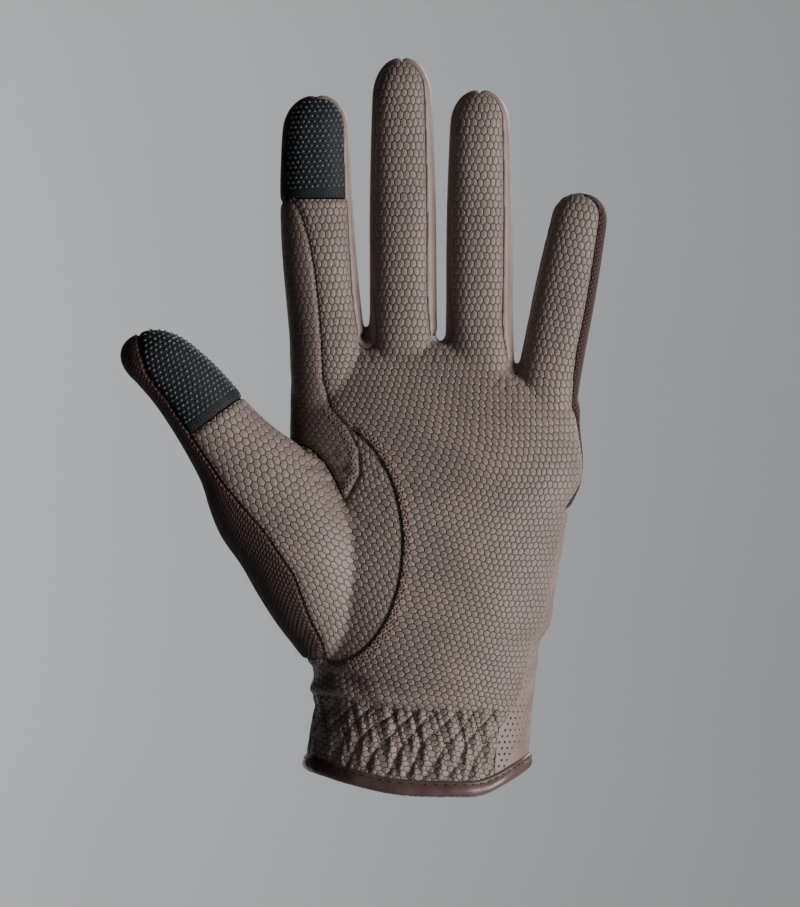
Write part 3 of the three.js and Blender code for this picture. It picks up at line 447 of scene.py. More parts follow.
LITTLE_EDGE = dict(
    up=[0, 0.15, 0.2, 0.24, 0.32, 0.62, 0.7, 0.9, 1],
    palm=[-0.94, -0.92, -0.72, -0.62, -0.5, -0.38, -0.12, -0.3, -0.4],
)
THUMB_EDGE_BACK, THUMB_WRAP_UP, WRAP_HEIGHT = 0.55, 0.55, 20
PAD_Z = CROTCH + FINGERS[0]["length"] - INDEX_PAD_LENGTH
PAD_SIDE_SHARE, WALL_SPREAD, WALLS_FROM, SPLIT = -0.6, 14, 0.75, 0.4
LITTLE_BLEND_FROM, LITTLE_BLEND_HEIGHT = 14, 22
SIDE_LAP = 3
PAD_STEP = 1.2
print("the index finger's pad ends at", round(PAD_Z, 1), "mm")

# %% [markdown]
# A seam that runs up a finger's side could be a curve drawn in space, but a panel is only ever asked how far
# a point lies in front of its seam or behind it. So each seam is a depth, read across the glove from finger
# side to finger side and up the glove from height to height.

# %% How deep the seams lie
def distance_to(outline, x, z):
    """Distance on the X-Z plane to a closed outline, minus inside it."""
    nearest = np.full(x.shape, 1e9)
    inside = np.zeros(x.shape, bool)
    for (x0, z0), (x1, z1) in zip(outline, outline[1:] + outline[:1]):
        dx, dz = x1 - x0, z1 - z0
        t = np.clip(((x - x0) * dx + (z - z0) * dz) / max(dx * dx + dz * dz, 1e-9), 0, 1)
        nearest = np.minimum(nearest, np.hypot(x - x0 - t * dx, z - z0 - t * dz))
        if dz:
            inside ^= ((z0 > z) != (z1 > z)) & (x < (z - z0) * dx / dz + x0)
    return np.where(inside, -nearest, nearest)


def finger_side(finger, side, z):
    """Across, depth and half depth of a finger's side at heights."""
    turn = math.radians(finger["lean"])
    along = (z - CROTCH + finger["drop"]) / (math.cos(turn) * finger["length"])
    x, y, _, wide, deep = finger_at(finger, np.minimum(along, TIP_START))
    beyond = np.maximum(0, along - TIP_START) * finger["length"] * math.sin(turn)
    return x + side * wide + beyond, y, deep, np.clip(along, 0, 1)


def seam_columns(which, z):
    """The seam's depth at each side of each finger: lists of places across and of depths, at heights."""
    xs, ys = [], []
    for row in SEAM_SIDES:
        finger = FINGERS[row["finger"]]
        x, y, deep, along = finger_side(finger, row["side"], z)
        share = row["palm"] + (row["palm_tip"] - row["palm"]) * along
        if which == "back" and row["walled"]:
            share = np.full(z.shape, row["back"])
        if row["finger"] == 0 and not row["walled"]:
            share = np.where(z > PAD_Z - PAD_STEP / 2, PAD_SIDE_SHARE, share)
        xs.append(x)
        ys.append(y + share * deep)
    for i in (1, 3, 5):
        apart = np.clip((z - CROTCH + FINGERS[SEAM_SIDES[i + 1]["finger"]]["drop"]) / WALL_SPREAD, 0, 1)
        shared = (ys[i] + ys[i + 1]) / 2
        ys[i], ys[i + 1] = shared + (ys[i] - shared) * apart, shared + (ys[i + 1] - shared) * apart
        between = (xs[i] + xs[i + 1]) / 2
        xs[i], xs[i + 1] = between - SPLIT, between + SPLIT
    left, right, front, back = body_at(np.clip(z, 0, CROTCH))
    on_finger = np.clip((z - CROTCH + FINGERS[3]["drop"] + LITTLE_BLEND_FROM) / LITTLE_BLEND_HEIGHT, 0, 1)
    edge = np.interp(z / CROTCH, LITTLE_EDGE["up"], LITTLE_EDGE["palm"]) * front
    ys[-1] = edge + (ys[-1] - edge) * on_finger
    xs[-1] = np.maximum(xs[-1], right) + SIDE_LAP
    xs[0] = np.minimum(xs[0], left) - SIDE_LAP
    wrap = np.clip((CROTCH * THUMB_WRAP_UP - z) / WRAP_HEIGHT, 0, 1)
    ys[0] = ys[0] + (THUMB_EDGE_BACK * back - ys[0]) * wrap
    whole = z < CROTCH * WALLS_FROM
    for i in range(1, 7):
        ys[i] = np.where(whole, ys[0] + (ys[-1] - ys[0]) * i / 7, ys[i])
    return xs, ys


# The seams are worked out at these heights and read between them, closely along the fingers
wrap_top, walls_from = THUMB_WRAP_UP * CROTCH, CROTCH * WALLS_FROM
SEAM_HEIGHTS = np.unique(np.round([
    BELOW_GLOVE, *[u * CROTCH for u in LITTLE_EDGE["up"]], wrap_top, wrap_top - WRAP_HEIGHT,
    walls_from - 0.1, walls_from + 0.1, *np.arange(100, 230, 4), PAD_Z - PAD_STEP, PAD_Z,
], 2))


def seam_depth(which, at):
    """The depth of the palm's or the back's seam at points."""
    xs, ys = seam_columns(which, SEAM_HEIGHTS)
    xs = [np.interp(at[:, 2], SEAM_HEIGHTS, x) for x in xs]
    ys = [np.interp(at[:, 2], SEAM_HEIGHTS, y) for y in ys]
    depth = ys[0].copy()
    for k in range(7):
        t = (at[:, 0] - xs[k]) / np.maximum(xs[k + 1] - xs[k], 0.01)
        depth = np.where(t > 0, ys[k] + (ys[k + 1] - ys[k]) * np.clip(t, 0, 1), depth)
    return depth


def past_palm(at):
    return at[:, 1] - seam_depth("palm", at)


def aside_of(finger, at):
    """Distance across from the middle line of a finger."""
    tall = math.cos(math.radians(finger["lean"])) * finger["length"]
    along = (at[:, 2] - CROTCH + finger["drop"]) / tall
    return at[:, 0] - finger_at(finger, np.clip(along, -0.5, 1.2))[0]


def past_walls(at):
    """Below zero on the side walls between the fingers, above zero on the back."""
    low, high = seam_depth("palm", at), seam_depth("back", at)
    inside = (high - low > 0.5) & (aside_of(FINGERS[0], at) > 0) & (aside_of(FINGERS[3], at) < 0)
    return np.where(inside, at[:, 1] - high, 1.0)


def hem_height(x):
    return HEM_SAG * smooth(HEM["across"], HEM["rise"], x / WRIST_WIDTH)


def above_hem(at):
    return at[:, 2] - hem_height(at[:, 0])


depths_there = seam_columns("palm", np.array([CROTCH]))[1]
print("seam depths at the crotch", [round(float(y[0]), 1) for y in depths_there])

# %% [markdown]
# The thumb is one piece of leather set into the palm: its foot is an oval in the palm, its tongue ends at
# the seam of the index finger's side panel, and a knitted strip closes it behind. These seams are drawn as
# outlines on the palm, because that is how the cutter sees them.

# %% Thumb, side panel and cuff seams
OVAL_WIDTH, OVAL_HEIGHT = 42.4, 68.4
OVAL_MIDDLE = (-0.303 * HAND_WIDTH, CUFF_HEIGHT + 0.363 * PALM_HEIGHT)
SIDE_SEAM = dict(
    up=[1, 0.965, 0.873, 0.769, 0.666, 0.529, 0.392, 0.295, 0.237, 0.158, 0.075, 0],
    across=[0, 0.12, 0.24, 0.32, 0.37, 0.415, 0.44, 0.55, 0.75, 0.91, 0.925, 0.76],
)
THUMB_CROTCH = CUFF_HEIGHT + 0.51 * PALM_HEIGHT
SIDE_PANEL_FOOT = 12
THUMB_SEAM = dict(
    along=[0.99, 0.93, 0.85, 0.73, 0.55, 0.385, 0.165, -0.02, -0.18, -0.29],
    across=[-0.1, -0.36, -0.6, -0.66, -0.65, -0.56, -0.36, -0.3, -0.41, -0.41],
)
THUMB_SEAM_BACK = 0.25
THUMB_CLEAR, THUMB_TIP_FROM, THUMB_TIP_REACH, INSIDE_TIP = 1.2, 0.6, 1.5, -5
BACK_CUFF_TOP = dict(across=[-0.8, -0.4, -0.1, 0.2, 0.45, 0.9], up=[0.36, 0.38, 0.46, 0.56, 0.625, 0.64])
index_outer = FINGERS[0]["root"] * HAND_WIDTH - FINGERS[0]["width"] / 2

side_seam = [
    (index_outer + across * FINGERS[0]["width"], THUMB_CROTCH + (PAD_Z - THUMB_CROTCH) * up)
    for up, across in zip(SIDE_SEAM["up"], SIDE_SEAM["across"])
]
oval = [
    (OVAL_MIDDLE[0] + OVAL_WIDTH / 2 * math.cos(a), OVAL_MIDDLE[1] + OVAL_HEIGHT / 2 * math.sin(a))
    for a in np.radians(np.linspace(-78, 66, 40))
]
tongue = side_seam[-4:]
crotch_x, crotch_z = tongue[-1]
foot = oval[0]
# The points after the seams only close each outline, inside the thumb or far away from the glove
IN_PALM = [*oval, *tongue, (crotch_x - 4, crotch_z - 6), (foot[0] - 10, foot[1] + 8), (foot[0] - 9, foot[1])]
ROUND_THUMB = [
    *oval, *tongue, (crotch_x - 12, crotch_z + 20), (crotch_x - 25, CROTCH + 20), (-FAR, CROTCH + 20),
    (-FAR, foot[1] - 20), (foot[0] - 0.14 * HAND_WIDTH, foot[1]),
]
SIDE_PANEL = [
    (-FAR, PAD_Z), *side_seam, (crotch_x, crotch_z - SIDE_PANEL_FOOT), (-FAR, crotch_z - SIDE_PANEL_FOOT),
]
print("thumb's oval", round(OVAL_WIDTH, 1), "by", round(OVAL_HEIGHT, 1), "mm")

# %% [markdown]
# On the palm an outline is enough, but the thumb stands out of the palm, and an outline would also catch
# what lies behind it. So each test joins the outline with a depth: how far round the thumb a point lies, or
# whether it is in front of the thumb's own seam.

# %% Inside or outside each seam
def on_thumb(at):
    """Place along the thumb as a share of its length, and across and behind its axis in millimetres."""
    away = at - THUMB_BALL
    along = away @ THUMB_WAY / THUMB_LENGTH
    aside, y, wide, deep = thumb_at(along)
    return along, away @ THUMB_ACROSS - aside, at[:, 1] - y, wide, deep


def off_thumb(at):
    """Below zero on the thumb's piece."""
    along, across, behind, wide, deep = on_thumb(at)
    power = FINGER_SQUARE
    ratio = (np.abs(across / wide) ** power + np.abs(behind / deep) ** power) ** (1 / power)
    on_tip = (along > THUMB_TIP_FROM) & (np.abs(across) < THUMB_TIP_REACH * wide)
    round_it = np.where(on_tip, INSIDE_TIP, (ratio - 1) * deep - THUMB_CLEAR)
    x, z = at[:, 0], at[:, 2]
    in_palm = np.maximum(distance_to(IN_PALM, x, z), at[:, 1])
    return np.minimum(in_palm, np.maximum(round_it, distance_to(ROUND_THUMB, x, z)))


def thumb_place(along, across):
    aside, _, wide, _ = thumb_at(along)
    p = THUMB_BALL + along * THUMB_LENGTH * THUMB_WAY + (aside + across * wide) * THUMB_ACROSS
    return (float(p[0]), float(p[2]))


thumb_seam = [thumb_place(a, c) for a, c in zip(THUMB_SEAM["along"], THUMB_SEAM["across"])]
THUMB_FRONT = [
    *thumb_seam, (-0.28 * HAND_WIDTH, BELOW_GLOVE), (FAR, BELOW_GLOVE), (FAR, ABOVE_GLOVE),
    (thumb_seam[0][0] + 4, ABOVE_GLOVE),
]


def behind_thumb_front(at):
    """Below zero on the leather of the thumb, above zero on its knitted strip."""
    def behind(along):
        _, y, _, deep = thumb_at(along)
        return y + THUMB_SEAM_BACK * deep
    tip_x, ball_x = thumb_place(1, 0)[0], thumb_place(0, 0)[0]
    slope = (behind(1) - behind(0)) / (tip_x - ball_x)
    depth = behind(0) + slope * (np.minimum(at[:, 0], ball_x) - ball_x)
    return np.maximum(distance_to(THUMB_FRONT, at[:, 0], at[:, 2]), at[:, 1] - depth)


def below_thumb_pad(at):
    return THUMB_LENGTH - THUMB_PAD_LENGTH - (at - THUMB_BALL) @ THUMB_WAY


def off_side_panel(at):
    return distance_to(SIDE_PANEL, at[:, 0], at[:, 2])


def below_index_pad(at):
    right = HAND_WIDTH * (FINGERS[0]["root"] + FINGERS[1]["root"]) / 2
    return np.maximum(PAD_Z - at[:, 2], at[:, 0] - right)


def above_cuff(at):
    return at[:, 2] - CROTCH * np.interp(at[:, 0] / HAND_WIDTH, BACK_CUFF_TOP["across"], BACK_CUFF_TOP["up"])


print("the thumb's seam has", len(thumb_seam), "points")

# %% [markdown]
# A knife can't follow a curved seam from a script, and a boolean cutter leaves slivers. So the skin is cut
# along the zero line itself: each edge that crosses the line gets a point exactly there, and the points are
# joined across the faces. Then the faces on one side are parted off as an object of their own.

# %% Cut along a seam
CLOSE = 0.12


def cut(obj, distance):
    """Splits the faces of a piece along the zero line of a distance."""
    values = distance(points_of(obj))
    values[np.abs(values) < CLOSE * SKIN_GRAIN] = 0
    mesh = bmesh.new()
    mesh.from_mesh(obj.data)
    mesh.verts.ensure_lookup_table()
    line = [v for v in mesh.verts if values[v.index] == 0]
    crossing = [e for e in mesh.edges if values[e.verts[0].index] * values[e.verts[1].index] < 0]
    for edge in crossing:
        a, b = edge.verts
        share = values[a.index] / (values[a.index] - values[b.index])
        line.append(bmesh.utils.edge_split(edge, a, share)[1])
    bmesh.ops.connect_verts(mesh, verts=line, check_degenerate=True)
    mesh.to_mesh(obj.data)
    mesh.free()


def middles_of(obj):
    flat = np.empty(len(obj.data.polygons) * 3)
    obj.data.polygons.foreach_get("center", flat)
    return flat.reshape(-1, 3) / MM


def select_faces(obj, chosen):
    for element in (obj.data.vertices, obj.data.edges):
        element.foreach_set("select", np.zeros(len(element), bool))
    obj.data.polygons.foreach_set("select", np.asarray(chosen, bool))


def part_off(obj, name, distance):
    """Cuts a piece along a seam and gives the side below zero to a new object."""
    cut(obj, distance)
    select_faces(obj, distance(middles_of(obj)) < 0)
    pick(obj)
    bpy.ops.object.mode_set(mode="EDIT")
    bpy.ops.mesh.select_mode(type="FACE")
    bpy.ops.mesh.separate(type="SELECTED")
    bpy.ops.object.mode_set(mode="OBJECT")
    parted = next(o for o in bpy.context.selected_objects if o is not obj)
    parted.name = name
    return parted


def drop_loose(obj):
    """Keeps the largest connected part of a panel: a cut can leave crumbs."""
    pick(obj)
    bpy.ops.mesh.separate(type="LOOSE")
    parts = list(bpy.context.selected_objects)
    parts.sort(key=lambda o: len(o.data.polygons))
    name = obj.name
    for crumb in parts[:-1]:
        bpy.data.objects.remove(crumb)
    parts[-1].name = name
    return parts[-1]


print("points nearer to a seam than", round(CLOSE * SKIN_GRAIN, 2), "mm are taken to lie on it")

# %% [markdown]
# The order of the cuts is the order of the seams: first the arm's end is cut off at the hem, then the thumb
# with its pad, then the palm with the side panel and the other pad. What is left of the skin is the back.

# %% Part the skin into panels
panels = {}
arm_end = part_off(skin, "arm_end", above_hem)
bpy.data.objects.remove(arm_end)
thumb = part_off(skin, "thumb", off_thumb)
panels["thumb_front"] = part_off(thumb, "thumb_front_leather", behind_thumb_front)
panels["thumb_back_knit"] = thumb
thumb.name = "thumb_back_knitting"
panels["thumb_touch_pad"] = part_off(panels["thumb_front"], "thumb_touch_dots", below_thumb_pad)
panels["palm"] = part_off(skin, "palm_leather", past_palm)
panels["index_side_panel"] = part_off(panels["palm"], "index_side_leather", off_side_panel)
panels["index_touch_pad"] = part_off(panels["palm"], "index_touch_dots", below_index_pad)
walls = part_off(skin, "walls", past_walls)
panels["back_cuff"] = part_off(skin, "punched_cuff", above_cuff)
panels["back_knit"] = skin
skin.name = "back_knitting"


def gap_between(i):
    """Below zero between the middles of one finger and the next."""
    return lambda at: np.maximum(-aside_of(FINGERS[i], at), aside_of(FINGERS[i + 1], at))


for i, name in enumerate(["index_middle", "middle_ring"]):
    panels["finger_wall_" + name] = part_off(walls, name + "_wall_leather", gap_between(i))
panels["finger_wall_ring_little"] = walls
walls.name = "ring_little_wall_leather"
for node in panels:
    panels[node] = drop_loose(panels[node])
    print(node, len(panels[node].data.polygons), "faces")

# %% [markdown]
# Leather grain is pressed into a flat sheet before the glove is cut, so its rows of cells run along the
# fingers and bend with the hand. Object coordinates would smear it on the sides. Each panel is laid flat
# instead: across is the length around the hand or finger from its middle, up is the length along it.

# %% Lay the hand and the thumb flat
CROTCH_BLEND = 8
KNUCKLE_DEPTH = 10.5
GIRTH_STEPS = 12
FACE_EDGE = 0.06
OFF_FINGER, OFF_THUMB = 1.3, 1.5
THUMB_FREE_FROM, THUMB_FREE_OVER = 0.32, 0.15


def girth(wide, deep, turn):
    """Length around an oval from the middle of its face to an angle."""
    steps = [turn * (k + 0.5) / GIRTH_STEPS for k in range(GIRTH_STEPS)]
    return turn * sum(np.hypot(wide * np.cos(t), deep * np.sin(t)) for t in steps) / GIRTH_STEPS


def flat_finger(finger, at, facing):
    x, y, z = at.T
    turn = math.radians(finger["lean"])
    root_x, root_z = finger["root"] * HAND_WIDTH, CROTCH - finger["drop"]
    far = (x - root_x) * math.sin(turn) + (z - root_z) * math.cos(turn)
    middle_x, middle_y, middle_z, wide, deep = finger_at(finger, far / finger["length"])
    aside = ((x - middle_x) * math.cos(turn) - (z - middle_z) * math.sin(turn)) / wide
    behind = (y - middle_y) / deep
    angle = np.arctan2(aside, facing * behind)
    around = np.minimum(np.hypot(aside, behind), OFF_FINGER) * girth(wide, deep, angle)
    return np.stack([root_x + around, root_z + far], 1), np.abs(aside)


def flat_hand(at, facing=-1):
    """Across and up on the flat leather; facing is -1 for the palm and 1 for the back."""
    x, y, z = at.T
    left, right, front, back = body_at(z)
    middle, wide = (left + right) / 2, (right - left) / 2
    deep = np.maximum((front + back) / 2, KNUCKLE_DEPTH)
    aside = (x - middle) / wide
    angle = np.arctan2(aside, facing * (y - (back - front) / 2) / deep)
    # On the face the angle follows the width alone, or cells would fan out where a finger rises from it
    on_face = ease((1 - np.abs(aside)) / FACE_EDGE) * (np.abs(angle) < math.pi / 2)
    angle += (np.arcsin(np.clip(aside, -1, 1)) - angle) * on_face
    flat = np.stack([middle + girth(wide, deep, angle), z], 1)
    fingers = [flat_finger(f, at, facing) for f in FINGERS]
    nearest = np.argmin([aside for _, aside in fingers], axis=0)
    for k, (on_finger, _) in enumerate(fingers):
        share = ease((z - CROTCH + FINGERS[k]["drop"] + CROTCH_BLEND) / (2 * CROTCH_BLEND)) * (nearest == k)
        flat += (on_finger - flat) * share[:, None]
    return flat


def flat_thumb(at, facing=-1):
    along, across, behind, wide, deep = on_thumb(at)
    angle = np.arctan2(across / wide, facing * behind / deep)
    around = np.minimum(np.hypot(across / wide, behind / deep), OFF_THUMB) * girth(wide, deep, angle)
    if facing < 0:
        free = np.where(across > 0, ease((along - THUMB_FREE_FROM) / THUMB_FREE_OVER), 1)
        around = across + (around - across) * free
    return np.stack([around, along * THUMB_LENGTH], 1)


wide_there, deep_there = finger_at(FINGERS[1], 0.5)[3:]
face_girth = 2 * girth(wide_there, deep_there, math.pi / 2)
print("leather across the middle finger's face", round(float(face_girth), 1), "mm")

# %% [markdown]
# Leather gives when it is pulled over a hand: its cells grow wider over the middle of the palm and longer
# along the fingers, and their rows turn towards the thumb. One scale for the whole map would be wrong nearly
# everywhere. So the map is shrunk and turned at rates that are added up from place to place.

# %% Undo the pull on the leather
DRAWN_ACROSS = dict(u=[-90, 2, 12, 28, 90], rate=[0.72, 0.72, 0.85, 1.03, 1])
DRAWN_UP = dict(v=[-20, 38, 62, 100, 125, 240], rate=[1, 1, 0.95, 0.86, 0.75, 0.72])
TURN = 0.24
TURN_UP = dict(v=[-20, 85, 128, 240], rate=[-TURN, -TURN, 0, 0])
TURN_ACROSS = dict(u=[-90, 18, 30, 90], rate=[TURN, TURN, 0, 0])
RATE_STEP = 0.5
THUMB_STRETCH = (0.87, 0.68)
THUMB_TURN_LENGTH, THUMB_TURN = 28, 0.45
BALL_SPREAD, BALL_SLOPE = 0.2, 0.13


def summed(at, places, rates, start):
    """A rate added up from a start to each place."""
    fine = np.arange(places[0], places[-1], RATE_STEP)
    total = np.cumsum(RATE_STEP * np.interp(fine, places, rates))
    return np.interp(at, fine, total) - np.interp(start, fine, total)


def undrawn(u, v):
    """The place on the palm's leather before it was drawn over the hand and the fingers."""
    on_hand = 1 - ease((v - TURN_UP["v"][1]) / (TURN_UP["v"][2] - TURN_UP["v"][1]))
    across = u + (summed(u, *DRAWN_ACROSS.values(), 15) - u) * on_hand
    up = summed(v, *DRAWN_UP.values(), 0)
    return across + summed(v, *TURN_UP.values(), 40), up + summed(u, *TURN_ACROSS.values(), 10) * on_hand


def flat_palm(at):
    return np.stack(undrawn(*flat_hand(at).T), 1)


def flat_thumb_leather(at):
    """The thumb's leather, whose rows turn towards the palm over the ball of the thumb."""
    around, along = flat_thumb(at).T
    t = np.clip(along / THUMB_TURN_LENGTH, 0, 1)
    on_ball = 1 - ease(t)
    # The share on the ball, added up from the place where the turn ends
    turned = THUMB_TURN_LENGTH * (t - t**3 + t**4 / 2 - 0.5) + np.minimum(along, 0)
    across = around * (1 + BALL_SPREAD * on_ball) + THUMB_TURN * turned
    return np.stack([across, along - BALL_SLOPE * around * on_ball], 1) * THUMB_STRETCH


print("one cell over the index finger's root in leather", [round(float(x), 2) for x in undrawn(-25, 120)])

# %% [markdown]
# The flat places are kept as each panel's UV map, in millimetres, so that a pattern's scale is a real size.
# Only the palm's wrist is made finer than the skin, because the smocking there has small steep puffs.

# %% Keep the maps
FINE_BELOW, FINE_UP_TO = 30, 26


def flat_back(at):
    return flat_hand(at, 1)


def flat_thumb_back(at):
    return flat_thumb(at, 1)


LAID_FLAT = dict(
    palm=flat_palm,
    index_side_panel=flat_palm,
    thumb_front=flat_thumb_leather,
    thumb_touch_pad=flat_thumb,
    thumb_back_knit=flat_thumb_back,
    back_knit=flat_back,
    back_cuff=flat_back,
)


def lay_flat(obj, flat_of):
    """Keeps the flat places, in millimetres, as the piece's map named grain."""
    flat = flat_of(points_of(obj))
    corners = np.empty(len(obj.data.loops), dtype=np.int64)
    obj.data.loops.foreach_get("vertex_index", corners)
    grain = obj.data.uv_layers.new(name="grain")
    grain.data.foreach_set("uv", flat[corners].ravel())


def refine(obj, chosen):
    """Subdivides the chosen faces of a panel."""
    select_faces(obj, chosen)
    pick(obj)
    bpy.ops.object.mode_set(mode="EDIT")
    bpy.ops.mesh.subdivide(number_cuts=1)
    bpy.ops.object.mode_set(mode="OBJECT")


wrist = middles_of(panels["palm"])
refine(panels["palm"], (wrist[:, 2] < FINE_BELOW) & (wrist[:, 0] < FINE_UP_TO))
print("palm faces with a fine wrist:", len(panels["palm"].data.polygons))

# %% [markdown]
# The wrist is smocked: elastic behind the leather draws it up between crossing rows of stitches, into
# diamonds that grow into long slanting puffs above the binding. Cloth simulation would need each stitch as
# a pin, so the puffs are moved in code, from the product of two crossing waves.

# %% Smocked wrist
GATHER_PITCH, GATHER_TALL, GATHER_MIDDLE = 6.0, 8.8, 19.2
GATHER_LOW, GATHER_TOP = GATHER_MIDDLE - GATHER_TALL / 2, 25.6
GATHER_END, GATHER_RISE, RISE_OVER = 21, 3.2, 30
PUFF, DRAW = 0.4, 0.6
SLANT, LOW_SLANT = 0.35, 0.2
BINDING_CLEAR = 3.8
FOLDS = dict(
    over=dict(above=1.5, high=0.75, wide=1.6, ends=14, fades=26),
    under=dict(above=-0.6, high=-0.95, wide=0.8, ends=14, fades=26),
    crease=dict(above=6, high=-0.9, wide=1.3, ends=-4, fades=16),
    ripple=dict(above=3.9, high=0.3, wide=3.5, ends=10, fades=30),
)


def hump(far, wide):
    """One on a line, falling softly to nothing on both sides."""
    return np.exp(-((far / wide) ** 2))


def wander(u):
    """How far a column of puffs strays sideways: elastic never draws leather up evenly."""
    return 0.5 * np.sin(0.37 * u + 1) + 0.25 * np.sin(0.9 * u)


def band_place(u, z):
    """Across and up on the smocked band, whose rows rise to the thumb side and whose puffs slant."""
    up = z - GATHER_RISE * ease(-u / RISE_OVER)
    across = u - SLANT * (up - GATHER_MIDDLE) - LOW_SLANT * np.minimum(up - GATHER_LOW, 0)
    return across + wander(u), up


def gathers(at, flat):
    across, up = band_place(flat[:, 0], at[:, 2])
    row, column = (up - GATHER_MIDDLE) / GATHER_TALL, across / GATHER_PITCH
    diamond = np.sqrt(np.abs(np.sin(math.pi * (column + row)) * np.sin(math.pi * (column - row))))
    puff = np.where(up < GATHER_LOW, np.abs(np.cos(math.pi * column)), diamond)
    wobble = 1 + 0.3 * np.sin(1.7 * across + 0.9 * up)
    height = (PUFF + DRAW) * puff ** 0.75 * wobble - DRAW
    # The puffs fade towards the fold above, the binding, the punched leather and the back of the hand
    fade = ease((GATHER_TOP + 1 - up) / 4) * ease((above_hem(at) - BINDING_CLEAR) / 2.5)
    fade = fade * (1 - ease((at[:, 0] - GATHER_END) / 6)) * (1 - ease(at[:, 1] / 8))
    return height * fade * (0.45 + 0.55 * ease((flat[:, 0] + 24) / 16))


def wrist_folds(at, flat):
    """The sharp fold over the smocked band and the soft crease above it, deep on the thumb side."""
    _, up = band_place(flat[:, 0], at[:, 2])
    x = at[:, 0]

    def fold(above, high, wide, ends, fades):
        return high * hump(up - GATHER_TOP - above, wide) * ease((ends - x) / fades)

    height = fold(**FOLDS["over"]) + fold(**FOLDS["under"]) + fold(**FOLDS["crease"])
    height += fold(**FOLDS["ripple"]) * np.sin(0.55 * x + 0.5 * up)
    return height * (1 - ease((at[:, 1] + 6) / 10))


print("smocked band", round(GATHER_TOP - GATHER_LOW, 1), "mm high above the long puffs")

# %% [markdown]
# Leather wrinkles where the hand bends it: between the thumb and the index finger, and in small fans below
# the crotches of the fingers. Sculpting them by hand would differ on each run, so each wrinkle is a straight
# line with a depth and a width, pressed softly into the leather.

# %% Wrinkles
WRINKLES = dict(
    x0=[-31, -33, -29, -17.2, -16, -17, -18.5, -19.5, -22, -25],
    z0=[94.6, 98.2, 90.2, 102, 98.6, 95.4, 88.5, 86, 84, 84.5],
    x1=[-21.5, -24, -22.5, -13.8, -10.8, -12.4, -9.5, -10, -15, -22.5],
    z1=[93.6, 97.4, 89, 100.4, 94.6, 91.4, 88, 82.5, 77.5, 77],
    deep=[0.75, 0.35, 0.4, 0.35, 0.45, 0.4, 0.25, 0.3, 0.3, 0.2],
    wide=[1.3, 1.1, 1, 0.7, 0.8, 0.8, 1, 1.1, 1.1, 1.1],
)
CROTCHES = dict(x=[-15.2, 5.6, 26.4], z=[131.6, 131.6, 123.2])
BUNCH_LENGTH, BUNCH_DEEP, BUNCH_WIDE, BUNCH_TURNS = 7.5, 0.35, 0.7, (-128, -104, -78, -52)


def segment_distance(at, x0, z0, x1, z1):
    return distance_to([(x0, z0), (x1, z1)], at[:, 0], at[:, 2])


def line_distance(at, line):
    return np.min([segment_distance(at, *a, *b) for a, b in zip(line, line[1:])], axis=0)


def wrinkles(at):
    height = np.zeros(len(at))
    for *ends, deep, wide in zip(*WRINKLES.values()):
        height -= deep * hump(segment_distance(at, *ends), wide)
    for x, z in zip(*CROTCHES.values()):
        for turn in np.radians(BUNCH_TURNS):
            far_x, far_z = x + BUNCH_LENGTH * math.cos(turn), z + BUNCH_LENGTH * math.sin(turn)
            height -= BUNCH_DEEP * hump(segment_distance(at, x, z, far_x, far_z), BUNCH_WIDE)
    return height * (at[:, 1] < 2)


print("wrinkles", len(WRINKLES["x0"]), "and fans", len(CROTCHES["x"]))

# %% [markdown]
# A seam shows as a shallow valley, because both edges are turned in before they are sewn. The valley is read
# from the distance to the panel's edge. The thumb's oval is sewn in another way: the palm's edge lies higher
# there and the thumb's leather dips under it.

# %% Valleys along the seams
ON_LINE = 0.8
TURN_IN = dict(deep=0.6, wide=0.75)
TURN_SOFT = dict(deep=0.15, wide=2.6)
OVAL_STEPS = dict(palm=dict(high=0.4, wide=2.2), thumb_front=dict(high=-0.5, wide=0.9))
SEAM_OPEN = 0.14


def edge_points(obj, near=None):
    """The points on a panel's edge, in millimetres, all of them or those where a test holds."""
    mesh = bmesh.new()
    mesh.from_mesh(obj.data)
    edge = [v.index for v in mesh.verts if v.is_boundary]
    mesh.free()
    at = points_of(obj)[edge]
    return at if near is None else at[near(at)]


def reach_from(obj, edge):
    """Distance of each point of a panel from the nearest of some points on its edge."""
    tree = kdtree.KDTree(len(edge))
    for k, p in enumerate(edge):
        tree.insert(p, k)
    tree.balance()
    return np.array([tree.find(p)[2] for p in points_of(obj)])


def on_hem(at):
    return np.abs(above_hem(at)) < 0.6


def on_oval(at):
    return (line_distance(at, oval) < ON_LINE) & (at[:, 1] < 0)


def on_punched_edge(at):
    return (at[:, 0] > 15) & (at[:, 2] < CROTCH * 0.62) & (np.abs(past_palm(at)) < 1)


def on_side_seam(at):
    return (line_distance(at, side_seam) < ON_LINE) & (at[:, 1] < 3)


def turned(at):
    """Seams whose edges are turned in: all but the hem, the thumb's oval and the punched leather's edge."""
    return ~on_hem(at) & ~on_oval(at) & ~on_punched_edge(at)


def turn_in(obj):
    reach = reach_from(obj, edge_points(obj, turned))
    return -sum(row["deep"] * hump(reach, row["wide"]) for row in (TURN_IN, TURN_SOFT))


def open_seams(obj):
    """Draws a panel back a little from its turned seams, which leaves the dark line between two panels."""
    at, back = points_of(obj), {}
    mesh = bmesh.new()
    mesh.from_mesh(obj.data)
    for v in mesh.verts:
        if v.is_boundary:
            inner = [e.other_vert(v).co for e in v.link_edges if not e.is_boundary]
            if inner:
                way = np.array(sum(inner, Vector()) / len(inner)) / MM - at[v.index]
                back[v.index] = way * min(0.5, SEAM_OPEN / max(float(np.linalg.norm(way)), 1e-6))
    mesh.free()
    edge = np.array(list(back))
    opened = turned(at[edge]) & ~on_side_seam(at[edge])
    for k in edge[opened]:
        at[k] += back[k]
    put_points(obj, at)


